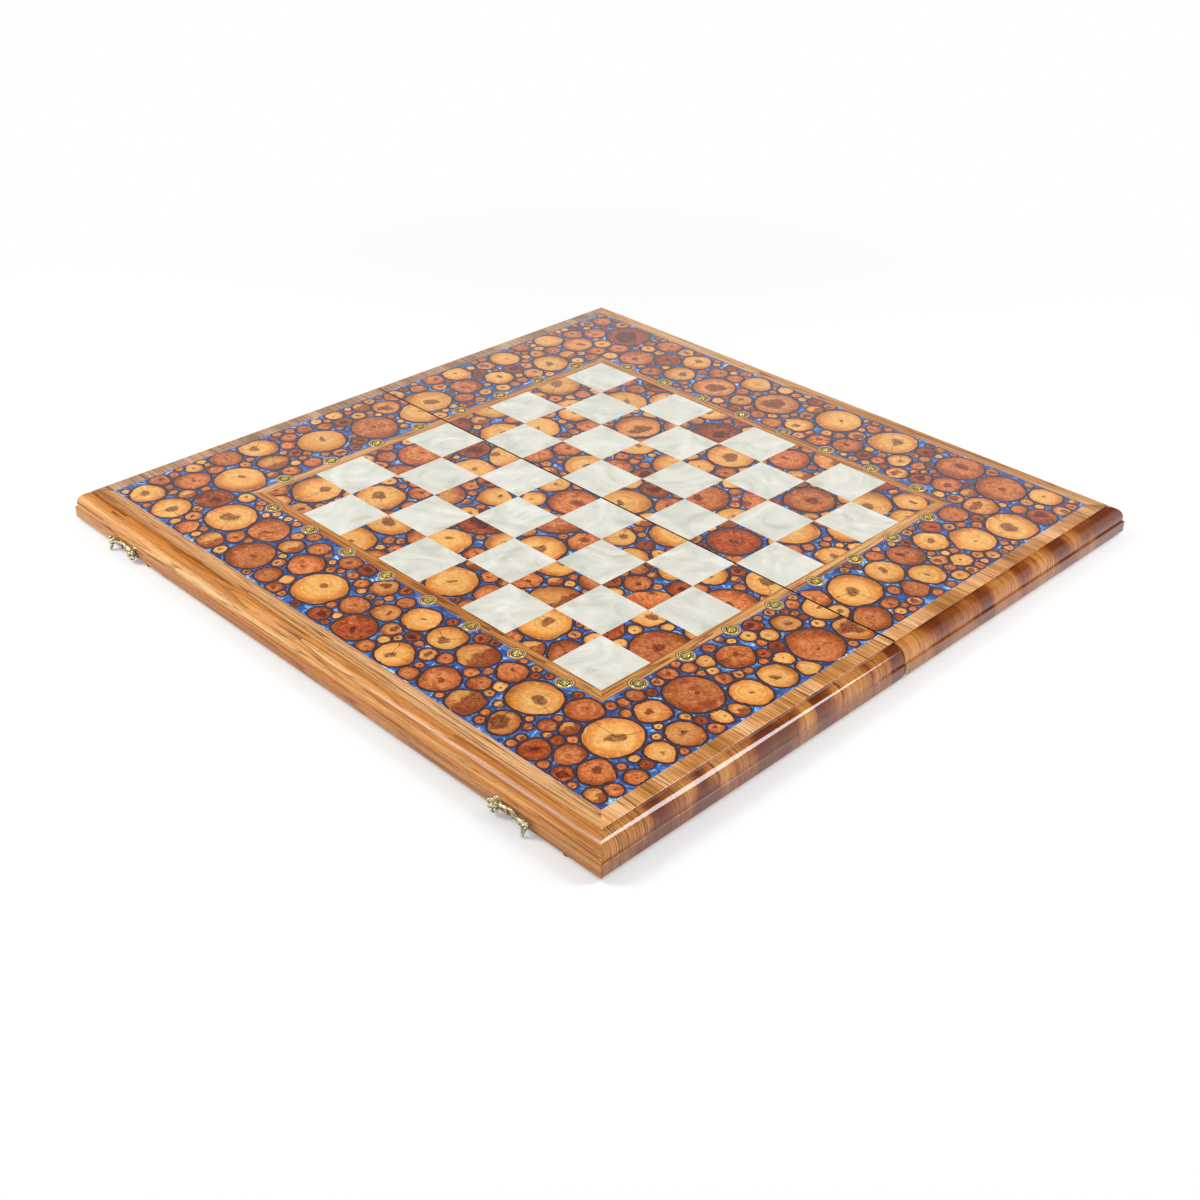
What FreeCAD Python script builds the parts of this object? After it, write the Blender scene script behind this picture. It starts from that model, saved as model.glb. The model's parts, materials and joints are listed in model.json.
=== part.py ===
# Folding chess and backgammon board: two shallow trays joined by butt hinges, open flat with the
# chess field up. X runs along the fold, -Y is the side with the hooks, Z is up from the table.
# Every sub-part is drawn in the near half's place, and the far half is the near half turned about Z.
import FreeCAD
import Part
import Sketcher
import math
import os
import random

SIZES = {
    # chess field and cast border
    "square": 47.3,
    "strip_w": 9.5,
    "border_w": 77.1,
    "joint_gap": 0.1,
    # moulded frame rails
    "flat_w": 12.3,
    "quirk_w": 0.8,
    "ovolo_r": 9.6,
    "ledge_w": 1.5,
    "step_h": 2.0,
    "face_h": 9.5,
    "half_h": 24.1,
    "edge_r": 0.5,
    "fold_gap": 1.2,
    "fold_rail_w": 12.0,
    "fold_chamfer": 2.4,
    "overcut": 2.0,
    # layers of each half, from the playing face down
    "cast_t": 5.0,
    "panel_t": 4.0,
    "lining_t": 2.0,
    "groove_d": 5.0,
    # wood slices in the casting
    "slice_gap": 0.7,
    "slice_tiny_r": 3.0,
    "slice_small_r": 6.2,
    "slice_mid_r": 10.5,
    "slice_big_r": 16.0,
    "slice_most_r": 21.0,
    "square_overrun": 4.0,
    # coordinate coins and their bosses on the strips
    "coin_off": 10.9,
    "coin_r": 5.35,
    "coin_t": 1.6,
    "coin_rim": 0.9,
    "coin_dish": 0.35,
    "boss_wall": 1.6,
    # backgammon points on the lining
    "point_l": 228.0,
    "point_gap": 5.0,
    "point_inset": 5.0,
    # butt hinges
    "hinge_pitch": 150.0,
    "leaf_l": 32.0,
    "leaf_w": 10.4,
    "leaf_t": 0.9,
    "knuckle_r": 1.4,
    "knuckle_lift": 0.05,
    "knuckle_gap": 0.2,
    "middle_l": 11.6,
    "hinge_pin_r": 0.7,
    "running_fit": 0.05,
    "screw_pitch": 20.0,
    "screw_head_r": 1.7,
    "screw_r": 0.8,
    "screw_l": 8.0,
    # feet under the rims
    "foot_r": 4.0,
    "foot_clear": 0.1,
    "foot_edge": 5.6,
    "foot_left_x": 197.0,
    "foot_right_x": 268.0,
    # hooks and catches
    "hook_x": 210.0,
    "hook_rise": 5.0,
    "hook_l": 28.0,
    "hook_t": 2.0,
    "hook_gap": 0.1,
    "arm_w": 2.4,
    "eye_r": 3.4,
    "jaw_wall": 2.3,
    "mouth_ease": 0.8,
    "ball_r": 2.6,
    "ball_clear": 0.6,
    "rosette_r": 4.5,
    "rosette_t": 1.2,
    "pivot_r": 1.25,
    "pivot_l": 12.0,
    "dome_r": 4.2,
    "dome_h": 2.8,
    "post_r": 1.5,
    "post_head_r": 2.6,
    "post_head_t": 2.5,
    "post_fit": 0.3,
}

FILES = 8
POINTS_PER_END = 6
HINGES = (-1, 0, 1)

# Wood slices: how often each class of radius is thrown, from large to small, and how far a slice swells
# past its disc into the room that its neighbours leave.
BORDER_THROWS = (80, 900, 4000, 16000)
SQUARE_THROWS = (3, 12, 60, 150)
CLASS_TOP = 0.9
SWELL = (1.1, 1.3)
EVENNESS = (0.96, 1.0)
OUTLINE_POINTS = 16
LEAST_AREA = 0.5

doc = FreeCAD.newDocument("game_board")
sheet = doc.addObject("Spreadsheet::Sheet", "Dims")
for row, (alias, size) in enumerate(SIZES.items(), start=1):
    sheet.set(f"A{row}", alias)
    sheet.set(f"B{row}", str(size))
    sheet.setAlias(f"B{row}", alias)
doc.recompute()

# Places worked out from the driving dimensions, as expressions in the sheet's aliases.
FIELD = "(4 * Dims.square)"
STRIP = f"({FIELD} + Dims.strip_w)"
INLAY = f"({STRIP} + Dims.border_w)"
FLAT = f"({INLAY} + Dims.flat_w)"
OVOLO = f"({FLAT} + Dims.quirk_w)"
OUTER = f"({OVOLO} + Dims.ovolo_r + Dims.ledge_w)"
FOLD = "(Dims.fold_gap / 2)"
TRAY = f"({FOLD} + Dims.fold_rail_w)"
COIN_LINE = f"({FIELD} + Dims.coin_off)"
BOSS_R = "(Dims.coin_r + Dims.boss_wall)"
AXIS_Z = "(Dims.knuckle_r + Dims.knuckle_lift)"
RIM_Z = f"(2 * {AXIS_Z} + Dims.foot_clear)"
TOP_Z = f"({RIM_Z} + Dims.half_h)"
CAST_Z = f"({TOP_Z} - Dims.cast_t)"
PANEL_Z = f"({CAST_Z} - Dims.panel_t)"
LINING_Z = f"({PANEL_Z} - Dims.lining_t)"
LEAF_Z = f"({RIM_Z} - Dims.leaf_t)"
LEAF_EDGE = "(Dims.knuckle_r + 2 * Dims.knuckle_gap)"
LEAF_SCREW_Y = f"(({LEAF_EDGE} + Dims.leaf_w) / 2)"
HOOK_Z = f"({RIM_Z} + Dims.hook_rise)"
HOOK_REACH = f"(2 * ({HOOK_Z} - {AXIS_Z}))"
EYE_Y = f"({OUTER} + Dims.rosette_t + Dims.hook_gap)"
HEAD_Y = f"({EYE_Y} + Dims.hook_t + Dims.hook_gap)"
JAW_R = "(Dims.post_r + Dims.post_fit)"
POINT_BASE = f"({INLAY} - Dims.point_inset)"
POINT_PITCH = f"(({INLAY} - {TRAY} - 2 * Dims.point_inset + Dims.point_gap) / {POINTS_PER_END})"

NODES = []


def value(expression):
    return float(sheet.evalExpression(expression))


def bind(item, **expressions):
    for prop, expression in expressions.items():
        item.setExpression(prop.replace("__", "."), expression)


def place(item, x="0", y="0", z="0"):
    bind(item, Placement__Base__x=x, Placement__Base__y=y, Placement__Base__z=z)
    return item


def aim(item, axis, angle):
    item.Placement = FreeCAD.Placement(FreeCAD.Vector(), FreeCAD.Rotation(FreeCAD.Vector(*axis), angle))
    return item


def node(item, label, turn=0):
    item.Label = label
    aim(item, (0, 0, 1), turn)
    NODES.append(item)
    return item


# Part primitives bound to the sheet

def box(name, length, width, height, x, y, z):
    item = doc.addObject("Part::Box", name)
    bind(item, Length=length, Width=width, Height=height)
    return place(item, x, y, z)


def cylinder(name, radius, height, x, y, z, axis=None, angle=90):
    item = doc.addObject("Part::Cylinder", name)
    bind(item, Radius=radius, Height=height)
    if axis:
        aim(item, axis, angle)
    return place(item, x, y, z)


def fuse(name, items):
    item = doc.addObject("Part::MultiFuse", name)
    item.Shapes = items
    return item


def cut(name, base, tool):
    item = doc.addObject("Part::Cut", name)
    item.Base = base
    item.Tool = tool
    return item


def group(name, items):
    item = doc.addObject("Part::Compound", name)
    item.Links = items
    return item


# Sketches held by distances from the origin

def new_body(name):
    return doc.addObject("PartDesign::Body", name)


def sketch_on(body, role, name, offset="0"):
    sketch = body.newObject("Sketcher::SketchObject", name)
    plane = next(item for item in body.Origin.OriginFeatures if item.Role == role)
    sketch.AttachmentSupport = [(plane, "")]
    sketch.MapMode = "FlatFace"
    sketch.setExpression("AttachmentOffset.Base.z", offset)
    return sketch


def hold(sketch, kind, axis, geometry, point, expression):
    """Hold a point of the sketch at a distance from the origin, or on the axis where that is nothing."""
    distance = value(expression)
    if abs(distance) < 1e-9:
        sketch.addConstraint(Sketcher.Constraint("PointOnObject", geometry, point, axis))
        return
    index = sketch.addConstraint(Sketcher.Constraint(kind, -1, 1, geometry, point, distance))
    sketch.setExpression(f"Constraints[{index}]", expression)


def hold_point(sketch, geometry, point, x, y):
    hold(sketch, "DistanceX", -2, geometry, point, x)
    hold(sketch, "DistanceY", -1, geometry, point, y)


def add_outline(sketch, points, arcs=None, counterclockwise=True):
    """Closed outline through points, given as pairs of expressions. A stretch that starts at a point
    named in arcs is an arc about the centre given there."""
    arcs = arcs or {}
    first = sketch.GeometryCount
    spots = [FreeCAD.Vector(value(x), value(y), 0) for x, y in points]
    count = len(spots)
    ends = []
    for index, start in enumerate(spots):
        stop = spots[(index + 1) % count]
        if index not in arcs:
            sketch.addGeometry(Part.LineSegment(start, stop))
            ends.append((1, 2))
            continue
        centre = FreeCAD.Vector(value(arcs[index][0]), value(arcs[index][1]), 0)
        low, high = (start, stop) if counterclockwise else (stop, start)
        circle = Part.Circle(centre, FreeCAD.Vector(0, 0, 1), (start - centre).Length)
        angles = [math.atan2(spot.y - centre.y, spot.x - centre.x) for spot in (low, high)]
        sketch.addGeometry(Part.ArcOfCircle(circle, angles[0], angles[1]))
        ends.append((1, 2) if counterclockwise else (2, 1))
    for index in range(count):
        after = (index + 1) % count
        joint = (first + index, ends[index][1], first + after, ends[after][0])
        sketch.addConstraint(Sketcher.Constraint("Coincident", *joint))
        hold_point(sketch, first + index, ends[index][0], *points[index])
    for index, centre in arcs.items():
        hold(sketch, "DistanceX", -2, first + index, 3, centre[0])


def add_circle(sketch, x, y, radius):
    spot = FreeCAD.Vector(value(x), value(y), 0)
    index = sketch.addGeometry(Part.Circle(spot, FreeCAD.Vector(0, 0, 1), value(radius)))
    hold_point(sketch, index, 3, x, y)
    held = sketch.addConstraint(Sketcher.Constraint("Radius", index, value(radius)))
    sketch.setExpression(f"Constraints[{held}]", radius)


def pad(body, sketch, length, sides="One side"):
    feature = body.newObject("PartDesign::Pad", f"{sketch.Name}_pad")
    feature.Profile = sketch
    feature.SideType = sides
    feature.setExpression("Length", length)
    body.Tip = feature
    doc.recompute()
    return feature


def pocket(body, sketch, depth=None, upward=False):
    """Cut the sketch into the body: to a depth, or right through both ways where none is given."""
    before = body.Shape.Volume
    feature = body.newObject("PartDesign::Pocket", f"{sketch.Name}_pocket")
    feature.Profile = sketch
    feature.Reversed = upward
    if depth:
        feature.setExpression("Length", depth)
    else:
        feature.Type = "ThroughAll"
        feature.SideType = "Symmetric"
    body.Tip = feature
    doc.recompute()
    if body.Shape.Volume > before - 1e-6:
        raise RuntimeError(f"{feature.Name} cuts nothing")
    return feature


def ease(body, base, corners, across):
    """Round the long edges of a rail that pass through the given corners of its section."""
    spots = [(value(a), value(b)) for a, b in corners]
    names = []
    for index, edge in enumerate(base.Shape.Edges, start=1):
        places = {(round(getattr(v.Point, across), 4), round(v.Point.z, 4)) for v in edge.Vertexes}
        if len(places) == 1:
            spot = places.pop()
            if any(math.dist(spot, corner) < 1e-3 for corner in spots):
                names.append(f"Edge{index}")
    feature = body.newObject("PartDesign::Fillet", f"{body.Name}_eased")
    feature.Base = (base, names)
    feature.setExpression("Radius", "Dims.edge_r")
    body.Tip = feature
    doc.recompute()


# Frame rails

def rail_section(sketch, sign):
    """Moulded section: face, ledge, ovolo, step and flat outside, panel groove inside."""
    def out(distance):
        return f"{sign} * {distance}"

    shoulder = f"({OUTER} - Dims.ledge_w)"
    groove = f"({INLAY} + Dims.groove_d)"
    ledge_z = f"({RIM_Z} + Dims.face_h)"
    step_z = f"({TOP_Z} - Dims.step_h)"
    spring_z = f"({step_z} - Dims.ovolo_r)"
    points = [
        (out(INLAY), RIM_Z),
        (out(OUTER), RIM_Z),
        (out(OUTER), ledge_z),
        (out(shoulder), ledge_z),
        (out(shoulder), spring_z),
        (out(OVOLO), step_z),
        (out(FLAT), step_z),
        (out(FLAT), TOP_Z),
        (out(INLAY), TOP_Z),
        (out(INLAY), CAST_Z),
        (out(groove), CAST_Z),
        (out(groove), PANEL_Z),
        (out(INLAY), PANEL_Z),
    ]
    add_outline(sketch, points, {4: (out(OVOLO), spring_z)}, sign > 0)
    return [(out(OUTER), RIM_Z), (out(OUTER), ledge_z), (out(FLAT), TOP_Z)]


def mitre(body, corners):
    sketch = sketch_on(body, "XY_Plane", f"{body.Name}_mitre")
    for side, third in corners:
        near = f"({INLAY} - Dims.overcut)"
        far = f"({OUTER} + Dims.overcut)"
        outside = (f"{side} * {far}", f"-{near}")
        inside = (f"{side} * {near}", f"-{far}")
        points = [(f"{side} * {near}", f"-{near}"), (f"{side} * {far}", f"-{far}")]
        add_outline(sketch, points + [outside if third == "outside" else inside])
    pocket(body, sketch)


def long_rail(label, turn):
    """Front or back rail, mitred at both ends and bored for the hooks' or catches' screws."""
    body = new_body(label)
    section = sketch_on(body, "YZ_Plane", f"{label}_section")
    corners = rail_section(section, -1)
    base = pad(body, section, f"2 * {OUTER}", "Symmetric")
    ease(body, base, corners, "y")
    mitre(body, [(side, "outside") for side in (-1, 1)])
    bores = sketch_on(body, "XZ_Plane", f"{label}_bores", OUTER)
    for side in (-1, 1):
        add_circle(bores, f"{side} * Dims.hook_x", HOOK_Z, "Dims.pivot_r")
    pocket(body, bores, "Dims.pivot_l")
    node(body, label, turn)


def end_rail(label, side, turn):
    """Short rail at one end of a half, mitred to the long rail and square at the fold."""
    body = new_body(label)
    section = sketch_on(body, "XZ_Plane", f"{label}_section", FOLD)
    corners = rail_section(section, side)
    base = pad(body, section, f"{OUTER} - {FOLD}")
    ease(body, base, corners, "x")
    mitre(body, [(side, "inside")])
    relief = sketch_on(body, "YZ_Plane", f"{label}_relief")
    points = [
        (f"-{FOLD} + Dims.overcut", f"{RIM_Z} - Dims.overcut"),
        (f"-{FOLD} + Dims.overcut", f"{RIM_Z} + Dims.fold_chamfer + Dims.overcut"),
        (f"-{FOLD} - Dims.fold_chamfer - Dims.overcut", f"{RIM_Z} - Dims.overcut"),
    ]
    add_outline(relief, points)
    pocket(body, relief)
    node(body, label, turn)


def fold_rail(label, turn):
    """Rail along the fold, under the panel, with its rim corner chamfered for the hinge knuckles."""
    body = new_body(label)
    section = sketch_on(body, "YZ_Plane", f"{label}_section")
    points = [
        (f"-{TRAY}", RIM_Z),
        (f"-{FOLD} - Dims.fold_chamfer", RIM_Z),
        (f"-{FOLD}", f"{RIM_Z} + Dims.fold_chamfer"),
        (f"-{FOLD}", PANEL_Z),
        (f"-{TRAY}", PANEL_Z),
    ]
    add_outline(section, points)
    pad(body, section, f"2 * {INLAY}", "Symmetric")
    bores = sketch_on(body, "XY_Plane", f"{label}_bores", RIM_Z)
    for x in screw_places():
        add_circle(bores, x, f"-{LEAF_SCREW_Y}", "Dims.screw_r")
    pocket(body, bores, "Dims.screw_l - Dims.leaf_t", upward=True)
    node(body, label, turn)


# Panel, field and strips

def panel(label, turn):
    edge = f"({INLAY} + Dims.groove_d)"
    plate = box(f"{label}_plate", f"2 * {edge}", f"{edge} - {FOLD}", "Dims.panel_t", f"-{edge}", f"-{edge}",
                PANEL_Z)
    node(group(label, [plate]), label, turn)


def square_corner(column, row):
    return f"({column} - 4) * Dims.square", f"({row} - 4) * Dims.square"


def square_size(row):
    """Width of a square across the fold: the row beside the fold loses half of the gap there."""
    shortfall = FOLD if row == FILES // 2 - 1 else "0"
    return f"Dims.square - {shortfall}"


def near_squares(dark):
    for row in range(FILES // 2):
        for column in range(FILES):
            if ((row + column) % 2 == 0) == dark:
                yield column, row


def light_squares(label, turn):
    tiles = []
    for column, row in near_squares(dark=False):
        x, y = square_corner(column, row)
        name = f"{label}_{column}_{row}"
        length = "Dims.square - Dims.joint_gap"
        width = f"{square_size(row)} - Dims.joint_gap"
        inset = "Dims.joint_gap / 2"
        tiles.append(box(name, length, width, "Dims.cast_t", f"{x} + {inset}", f"{y} + {inset}", CAST_Z))
    node(group(label, tiles), label, turn)


def coin_places(edge):
    """Middles of the coins along one strip of the near half."""
    if edge == 0:
        return [(f"({file} - 3.5) * Dims.square", f"-{COIN_LINE}") for file in range(FILES)]
    return [(f"{edge} * {COIN_LINE}", f"({rank} - 3.5) * Dims.square") for rank in range(FILES // 2)]


def strip(label, edge, turn):
    """Strip on one edge of the field, mitred at the corners, with a round boss at each coin."""
    body = new_body(label)
    outline = sketch_on(body, "XY_Plane", f"{label}_outline", CAST_Z)
    if edge == 0:
        points = [(f"-{STRIP}", f"-{STRIP}"), (STRIP, f"-{STRIP}"), (FIELD, f"-{FIELD}"),
                  (f"-{FIELD}", f"-{FIELD}")]
    else:
        inner = f"{edge} * {FIELD}"
        outer = f"{edge} * {STRIP}"
        points = [(inner, f"-{FIELD}"), (outer, f"-{STRIP}"), (outer, f"-{FOLD}"), (inner, f"-{FOLD}")]
    add_outline(outline, points)
    pad(body, outline, "Dims.cast_t")
    bosses = sketch_on(body, "XY_Plane", f"{label}_bosses", CAST_Z)
    seats = sketch_on(body, "XY_Plane", f"{label}_seats", TOP_Z)
    for x, y in coin_places(edge):
        add_circle(bosses, x, y, BOSS_R)
        add_circle(seats, x, y, "Dims.coin_r")
    pad(body, bosses, "Dims.cast_t")
    pocket(body, seats, "Dims.coin_t")
    node(body, label, turn)


def coins(label, turn):
    """Brass coins, dished inside a raised rim."""
    items = []
    for edge in (0, -1, 1):
        for index, (x, y) in enumerate(coin_places(edge)):
            name = f"{label}_{edge + 1}_{index}"
            blank = cylinder(f"{name}_blank", "Dims.coin_r", "Dims.coin_t", x, y, f"{TOP_Z} - Dims.coin_t")
            radius = "Dims.coin_r - Dims.coin_rim"
            dish = cylinder(f"{name}_dish", radius, "Dims.coin_t", x, y, f"{TOP_Z} - Dims.coin_dish")
            items.append(cut(name, blank, dish))
    node(group(label, items), label, turn)


# Wood slices cast in resin

def throw_discs(rng, room_at, span_x, span_y, throws):
    """Fill a region with discs, large ones first, each as big as its neighbours and class allow."""
    gap = value("Dims.slice_gap")
    steps = [value(f"Dims.slice_{name}_r") for name in ("big", "mid", "small", "tiny")]
    tops = [value("Dims.slice_most_r")] + [CLASS_TOP * step for step in steps]
    discs = []
    for least, most, count in zip(steps, tops, throws):
        for _ in range(count):
            x = rng.uniform(*span_x)
            y = rng.uniform(*span_y)
            room = min(most, room_at(x, y))
            for cx, cy, radius in discs:
                if room < least:
                    break
                room = min(room, math.hypot(x - cx, y - cy) - radius - gap)
            if room >= least:
                discs.append((x, y, room))
    return discs


def lines_between(disc, others):
    """Lines half way from a disc to each of the others, as a direction and a distance from its middle."""
    x, y, radius = disc
    lines = []
    for cx, cy, other in others:
        distance = math.hypot(cx - x, cy - y)
        if 0 < distance < 2 * SWELL[1] * radius + other:
            lines.append(((cx - x) / distance, (cy - y) / distance, (distance + radius - other) / 2))
    return lines


def slice_face(rng, disc, lines, z):
    """Uneven outline of a sawn branch, swollen from its disc as far as the lines round it allow."""
    x, y, radius = disc
    margin = value("Dims.slice_gap") / 2
    swell = rng.uniform(*SWELL)
    step = 2 * math.pi / OUTLINE_POINTS
    spots = []
    for index in range(OUTLINE_POINTS):
        reach = swell * radius
        for angle in ((index - 0.5) * step, index * step, (index + 0.5) * step):
            for across, along, limit in lines:
                facing = across * math.cos(angle) + along * math.sin(angle)
                if facing > 0:
                    reach = min(reach, (limit - margin) / facing)
        reach *= rng.uniform(*EVENNESS)
        spots.append(FreeCAD.Vector(x + reach * math.cos(index * step), y + reach * math.sin(index * step), z))
    curve = Part.BSplineCurve()
    curve.interpolate(Points=spots, PeriodicFlag=True)
    return Part.Face(Part.Wire([curve.toShape()]))


def raise_faces(faces):
    up = FreeCAD.Vector(0, 0, value("Dims.cast_t"))
    return Part.makeCompound([face.extrude(up) for face in faces])


def polygon_face(points, z):
    spots = [FreeCAD.Vector(x, y, z) for x, y in points]
    return Part.Face(Part.makePolygon(spots + spots[:1]))


def cast_node(name, shape, turn):
    item = doc.addObject("Part::Feature", name)
    item.Shape = shape
    node(item, name, turn)


def cast_border(resin_label, slice_label, seed, turn):
    """Resin border round three sides of the field, and the wood slices cast in it."""
    rng = random.Random(seed)
    inlay, edge, fold, z = value(INLAY), value(STRIP), value(FOLD), value(CAST_Z)
    boss = value(BOSS_R)
    gap = value("Dims.slice_gap")
    bosses = [(value(x), value(y)) for side in (0, -1, 1) for x, y in coin_places(side)]

    def room_at(x, y):
        beside = math.hypot(max(abs(x) - edge, 0), max(-edge - y, 0))
        walls = min(inlay - abs(x), inlay + y, beside)
        return min([walls] + [math.hypot(x - cx, y - cy) - boss for cx, cy in bosses]) - gap / 2

    discs = throw_discs(rng, room_at, (-inlay, inlay), (-inlay, -fold), BORDER_THROWS)
    frame = [(-inlay, -inlay), (inlay, -inlay), (inlay, -fold), (edge, -fold), (edge, -edge),
             (-edge, -edge), (-edge, -fold), (-inlay, -fold)]
    region = polygon_face(frame, z)

    def walls(x, y, radius):
        """Lines along the frame and along the strip, or across the strip's corner."""
        lines = [(1, 0, inlay - x), (-1, 0, inlay + x), (0, -1, inlay + y)]
        side = math.copysign(1, x)
        if y + radius < -edge:
            return lines + [(0, 1, -edge - y)]
        if abs(x) - radius > edge:
            return lines + [(-side, 0, abs(x) - edge)]
        return lines + lines_between((x, y, radius), [(side * edge, -edge, radius)])

    keep_out = discs + [(x, y, boss) for x, y in bosses]
    slices = [slice_face(rng, disc, lines_between(disc, keep_out) + walls(*disc), z) for disc in discs]
    clear = [y + SWELL[1] * radius < -fold for x, y, radius in discs]
    kept = [face if whole else face.common(region) for face, whole in zip(slices, clear)]
    rounds = [Part.Face(Part.Wire([Part.makeCircle(boss, FreeCAD.Vector(x, y, z))])) for x, y in bosses]
    resin = region.cut(rounds + slices)
    cast_node(resin_label, raise_faces(resin.Faces), turn)
    cast_node(slice_label, raise_faces([face for item in kept for face in item.Faces]), turn)


def dark_squares(resin_label, slice_label, seed, turn):
    """Dark squares cut from the same casting: resin with slices that end at the square's edges."""
    rng = random.Random(seed)
    z = value(CAST_Z)
    inset = value("Dims.joint_gap / 2")
    overrun = value("Dims.square_overrun")
    resin_faces = []
    slice_faces = []

    def room_at(x, y):
        return math.inf

    for column, row in near_squares(dark=True):
        left, low = [value(corner) + inset for corner in square_corner(column, row)]
        right = left + value("Dims.square - Dims.joint_gap")
        high = low + value(f"{square_size(row)} - Dims.joint_gap")
        tile = polygon_face([(left, low), (right, low), (right, high), (left, high)], z)
        span_x = (left - overrun, right + overrun)
        span_y = (low - overrun, high + overrun)
        discs = throw_discs(rng, room_at, span_x, span_y, SQUARE_THROWS)
        slices = [slice_face(rng, disc, lines_between(disc, discs), z) for disc in discs]
        resin_faces += [face for face in tile.cut(slices).Faces if face.Area > LEAST_AREA]
        for face in slices:
            slice_faces += [part for part in face.common(tile).Faces if part.Area > LEAST_AREA]
    cast_node(resin_label, raise_faces(resin_faces), turn)
    cast_node(slice_label, raise_faces(slice_faces), turn)


# Backgammon side, facing down

def point_outlines(light):
    """Triangles that stand on the two end rails, six at each end, light and dark by turns."""
    for side in (-1, 1):
        for index in range(POINTS_PER_END):
            if (index % 2 == 0) != (light == (side < 0)):
                continue
            low = f"(-{POINT_BASE} + {index} * {POINT_PITCH})"
            high = f"({low} + {POINT_PITCH} - Dims.point_gap)"
            base = f"{side} * {POINT_BASE}"
            tip = f"{side} * ({POINT_BASE} - Dims.point_l)"
            yield [(base, low), (tip, f"({low} + {high}) / 2"), (base, high)]


def lining(label, turn):
    body = new_body(label)
    outline = sketch_on(body, "XY_Plane", f"{label}_outline", LINING_Z)
    add_outline(outline, [(f"-{INLAY}", f"-{INLAY}"), (INLAY, f"-{INLAY}"), (INLAY, f"-{TRAY}"),
                          (f"-{INLAY}", f"-{TRAY}")])
    for light in (True, False):
        for points in point_outlines(light):
            add_outline(outline, points)
    pad(body, outline, "Dims.lining_t")
    node(body, label, turn)


def point_inlays(label, light, turn):
    body = new_body(label)
    outline = sketch_on(body, "XY_Plane", f"{label}_outline", LINING_Z)
    for triangle in point_outlines(light):
        add_outline(outline, triangle)
    pad(body, outline, "Dims.lining_t")
    node(body, label, turn)


# Butt hinges, their screws and the feet

def hinge_x(index):
    return f"{index} * Dims.hinge_pitch"


def screw_places():
    return [f"{hinge_x(index)} + {side} * Dims.screw_pitch / 2" for index in HINGES for side in (-1, 1)]


def along_x(name, radius, length, middle):
    """Round bar on the hinge axis."""
    return cylinder(name, radius, length, f"{middle} - ({length}) / 2", "0", AXIS_Z, (0, 1, 0))


def leaf(name, index, spans, bore):
    """One hinge leaf: a plate on the rim, a knuckle and tab for each span, and countersunk holes."""
    x = hinge_x(index)
    width = f"Dims.leaf_w - {LEAF_EDGE}"
    plate = box(f"{name}_plate", "Dims.leaf_l", width, "Dims.leaf_t", f"{x} - Dims.leaf_l / 2",
                "-Dims.leaf_w", LEAF_Z)
    solids = [plate]
    for number, (middle, length) in enumerate(spans):
        centre = f"{x} + {middle}"
        tab_w = f"{LEAF_EDGE} - Dims.knuckle_r / 2"
        solids.append(along_x(f"{name}_knuckle_{number}", "Dims.knuckle_r", length, centre))
        solids.append(box(f"{name}_tab_{number}", length, tab_w, "Dims.leaf_t",
                          f"{centre} - ({length}) / 2", f"-{LEAF_EDGE}", LEAF_Z))
    tools = [along_x(f"{name}_bore", bore, "Dims.leaf_l + Dims.overcut", x)]
    for side in (-1, 1):
        tools.append(screw_solid(f"{name}_sink_{side + 1}", f"{x} + {side} * Dims.screw_pitch / 2"))
    return cut(name, fuse(f"{name}_blank", solids), fuse(f"{name}_holes", tools))


def screw_solid(name, x):
    """Countersunk screw, head down in the leaf and shank up into the fold rail."""
    head = doc.addObject("Part::Cone", f"{name}_head")
    bind(head, Radius1="Dims.screw_head_r", Radius2="Dims.screw_r", Height="Dims.leaf_t")
    place(head, x, f"-{LEAF_SCREW_Y}", LEAF_Z)
    shank = cylinder(f"{name}_shank", "Dims.screw_r", "Dims.screw_l", x, f"-{LEAF_SCREW_Y}", LEAF_Z)
    return fuse(name, [head, shank])


def hinge_leaves(label, outer_knuckles, turn):
    side_l = "((Dims.leaf_l - Dims.middle_l) / 2 - Dims.knuckle_gap)"
    if outer_knuckles:
        shift = f"((Dims.leaf_l - {side_l}) / 2)"
        spans = [(f"-{shift}", side_l), (shift, side_l)]
        bore = "Dims.hinge_pin_r"
    else:
        spans = [("0", "Dims.middle_l")]
        bore = "Dims.hinge_pin_r + Dims.running_fit"
    leaves = [leaf(f"{label}_{index + 1}", index, spans, bore) for index in HINGES]
    node(group(label, leaves), label, turn)


def hinge_screws(label, turn):
    screws = [screw_solid(f"{label}_{number}", x) for number, x in enumerate(screw_places())]
    node(group(label, screws), label, turn)


def hinge_pins(label):
    pins = [along_x(f"{label}_{index + 1}", "Dims.hinge_pin_r", "Dims.leaf_l", hinge_x(index)) for index in HINGES]
    node(group(label, pins), label)


def feet(label, turn):
    """Feet under the rims. Their places differ from one half to the other, so they miss when it is shut."""
    items = []
    lines = [f"-({OUTER} - Dims.foot_edge)", f"-({FOLD} + Dims.fold_rail_w / 2 + Dims.fold_chamfer / 2)"]
    for row, y in enumerate(lines):
        for column, x in enumerate(("-Dims.foot_left_x", "Dims.foot_right_x")):
            items.append(cylinder(f"{label}_{row}_{column}", "Dims.foot_r", RIM_Z, x, y, "0"))
    node(group(label, items), label, turn)


# Hooks and catches

def outward(name, radius, length, x, y, z=HOOK_Z):
    """Round bar that stands out from the front face, from a distance y off the middle."""
    return cylinder(name, radius, length, x, f"-{y}", z, (1, 0, 0))


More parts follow.
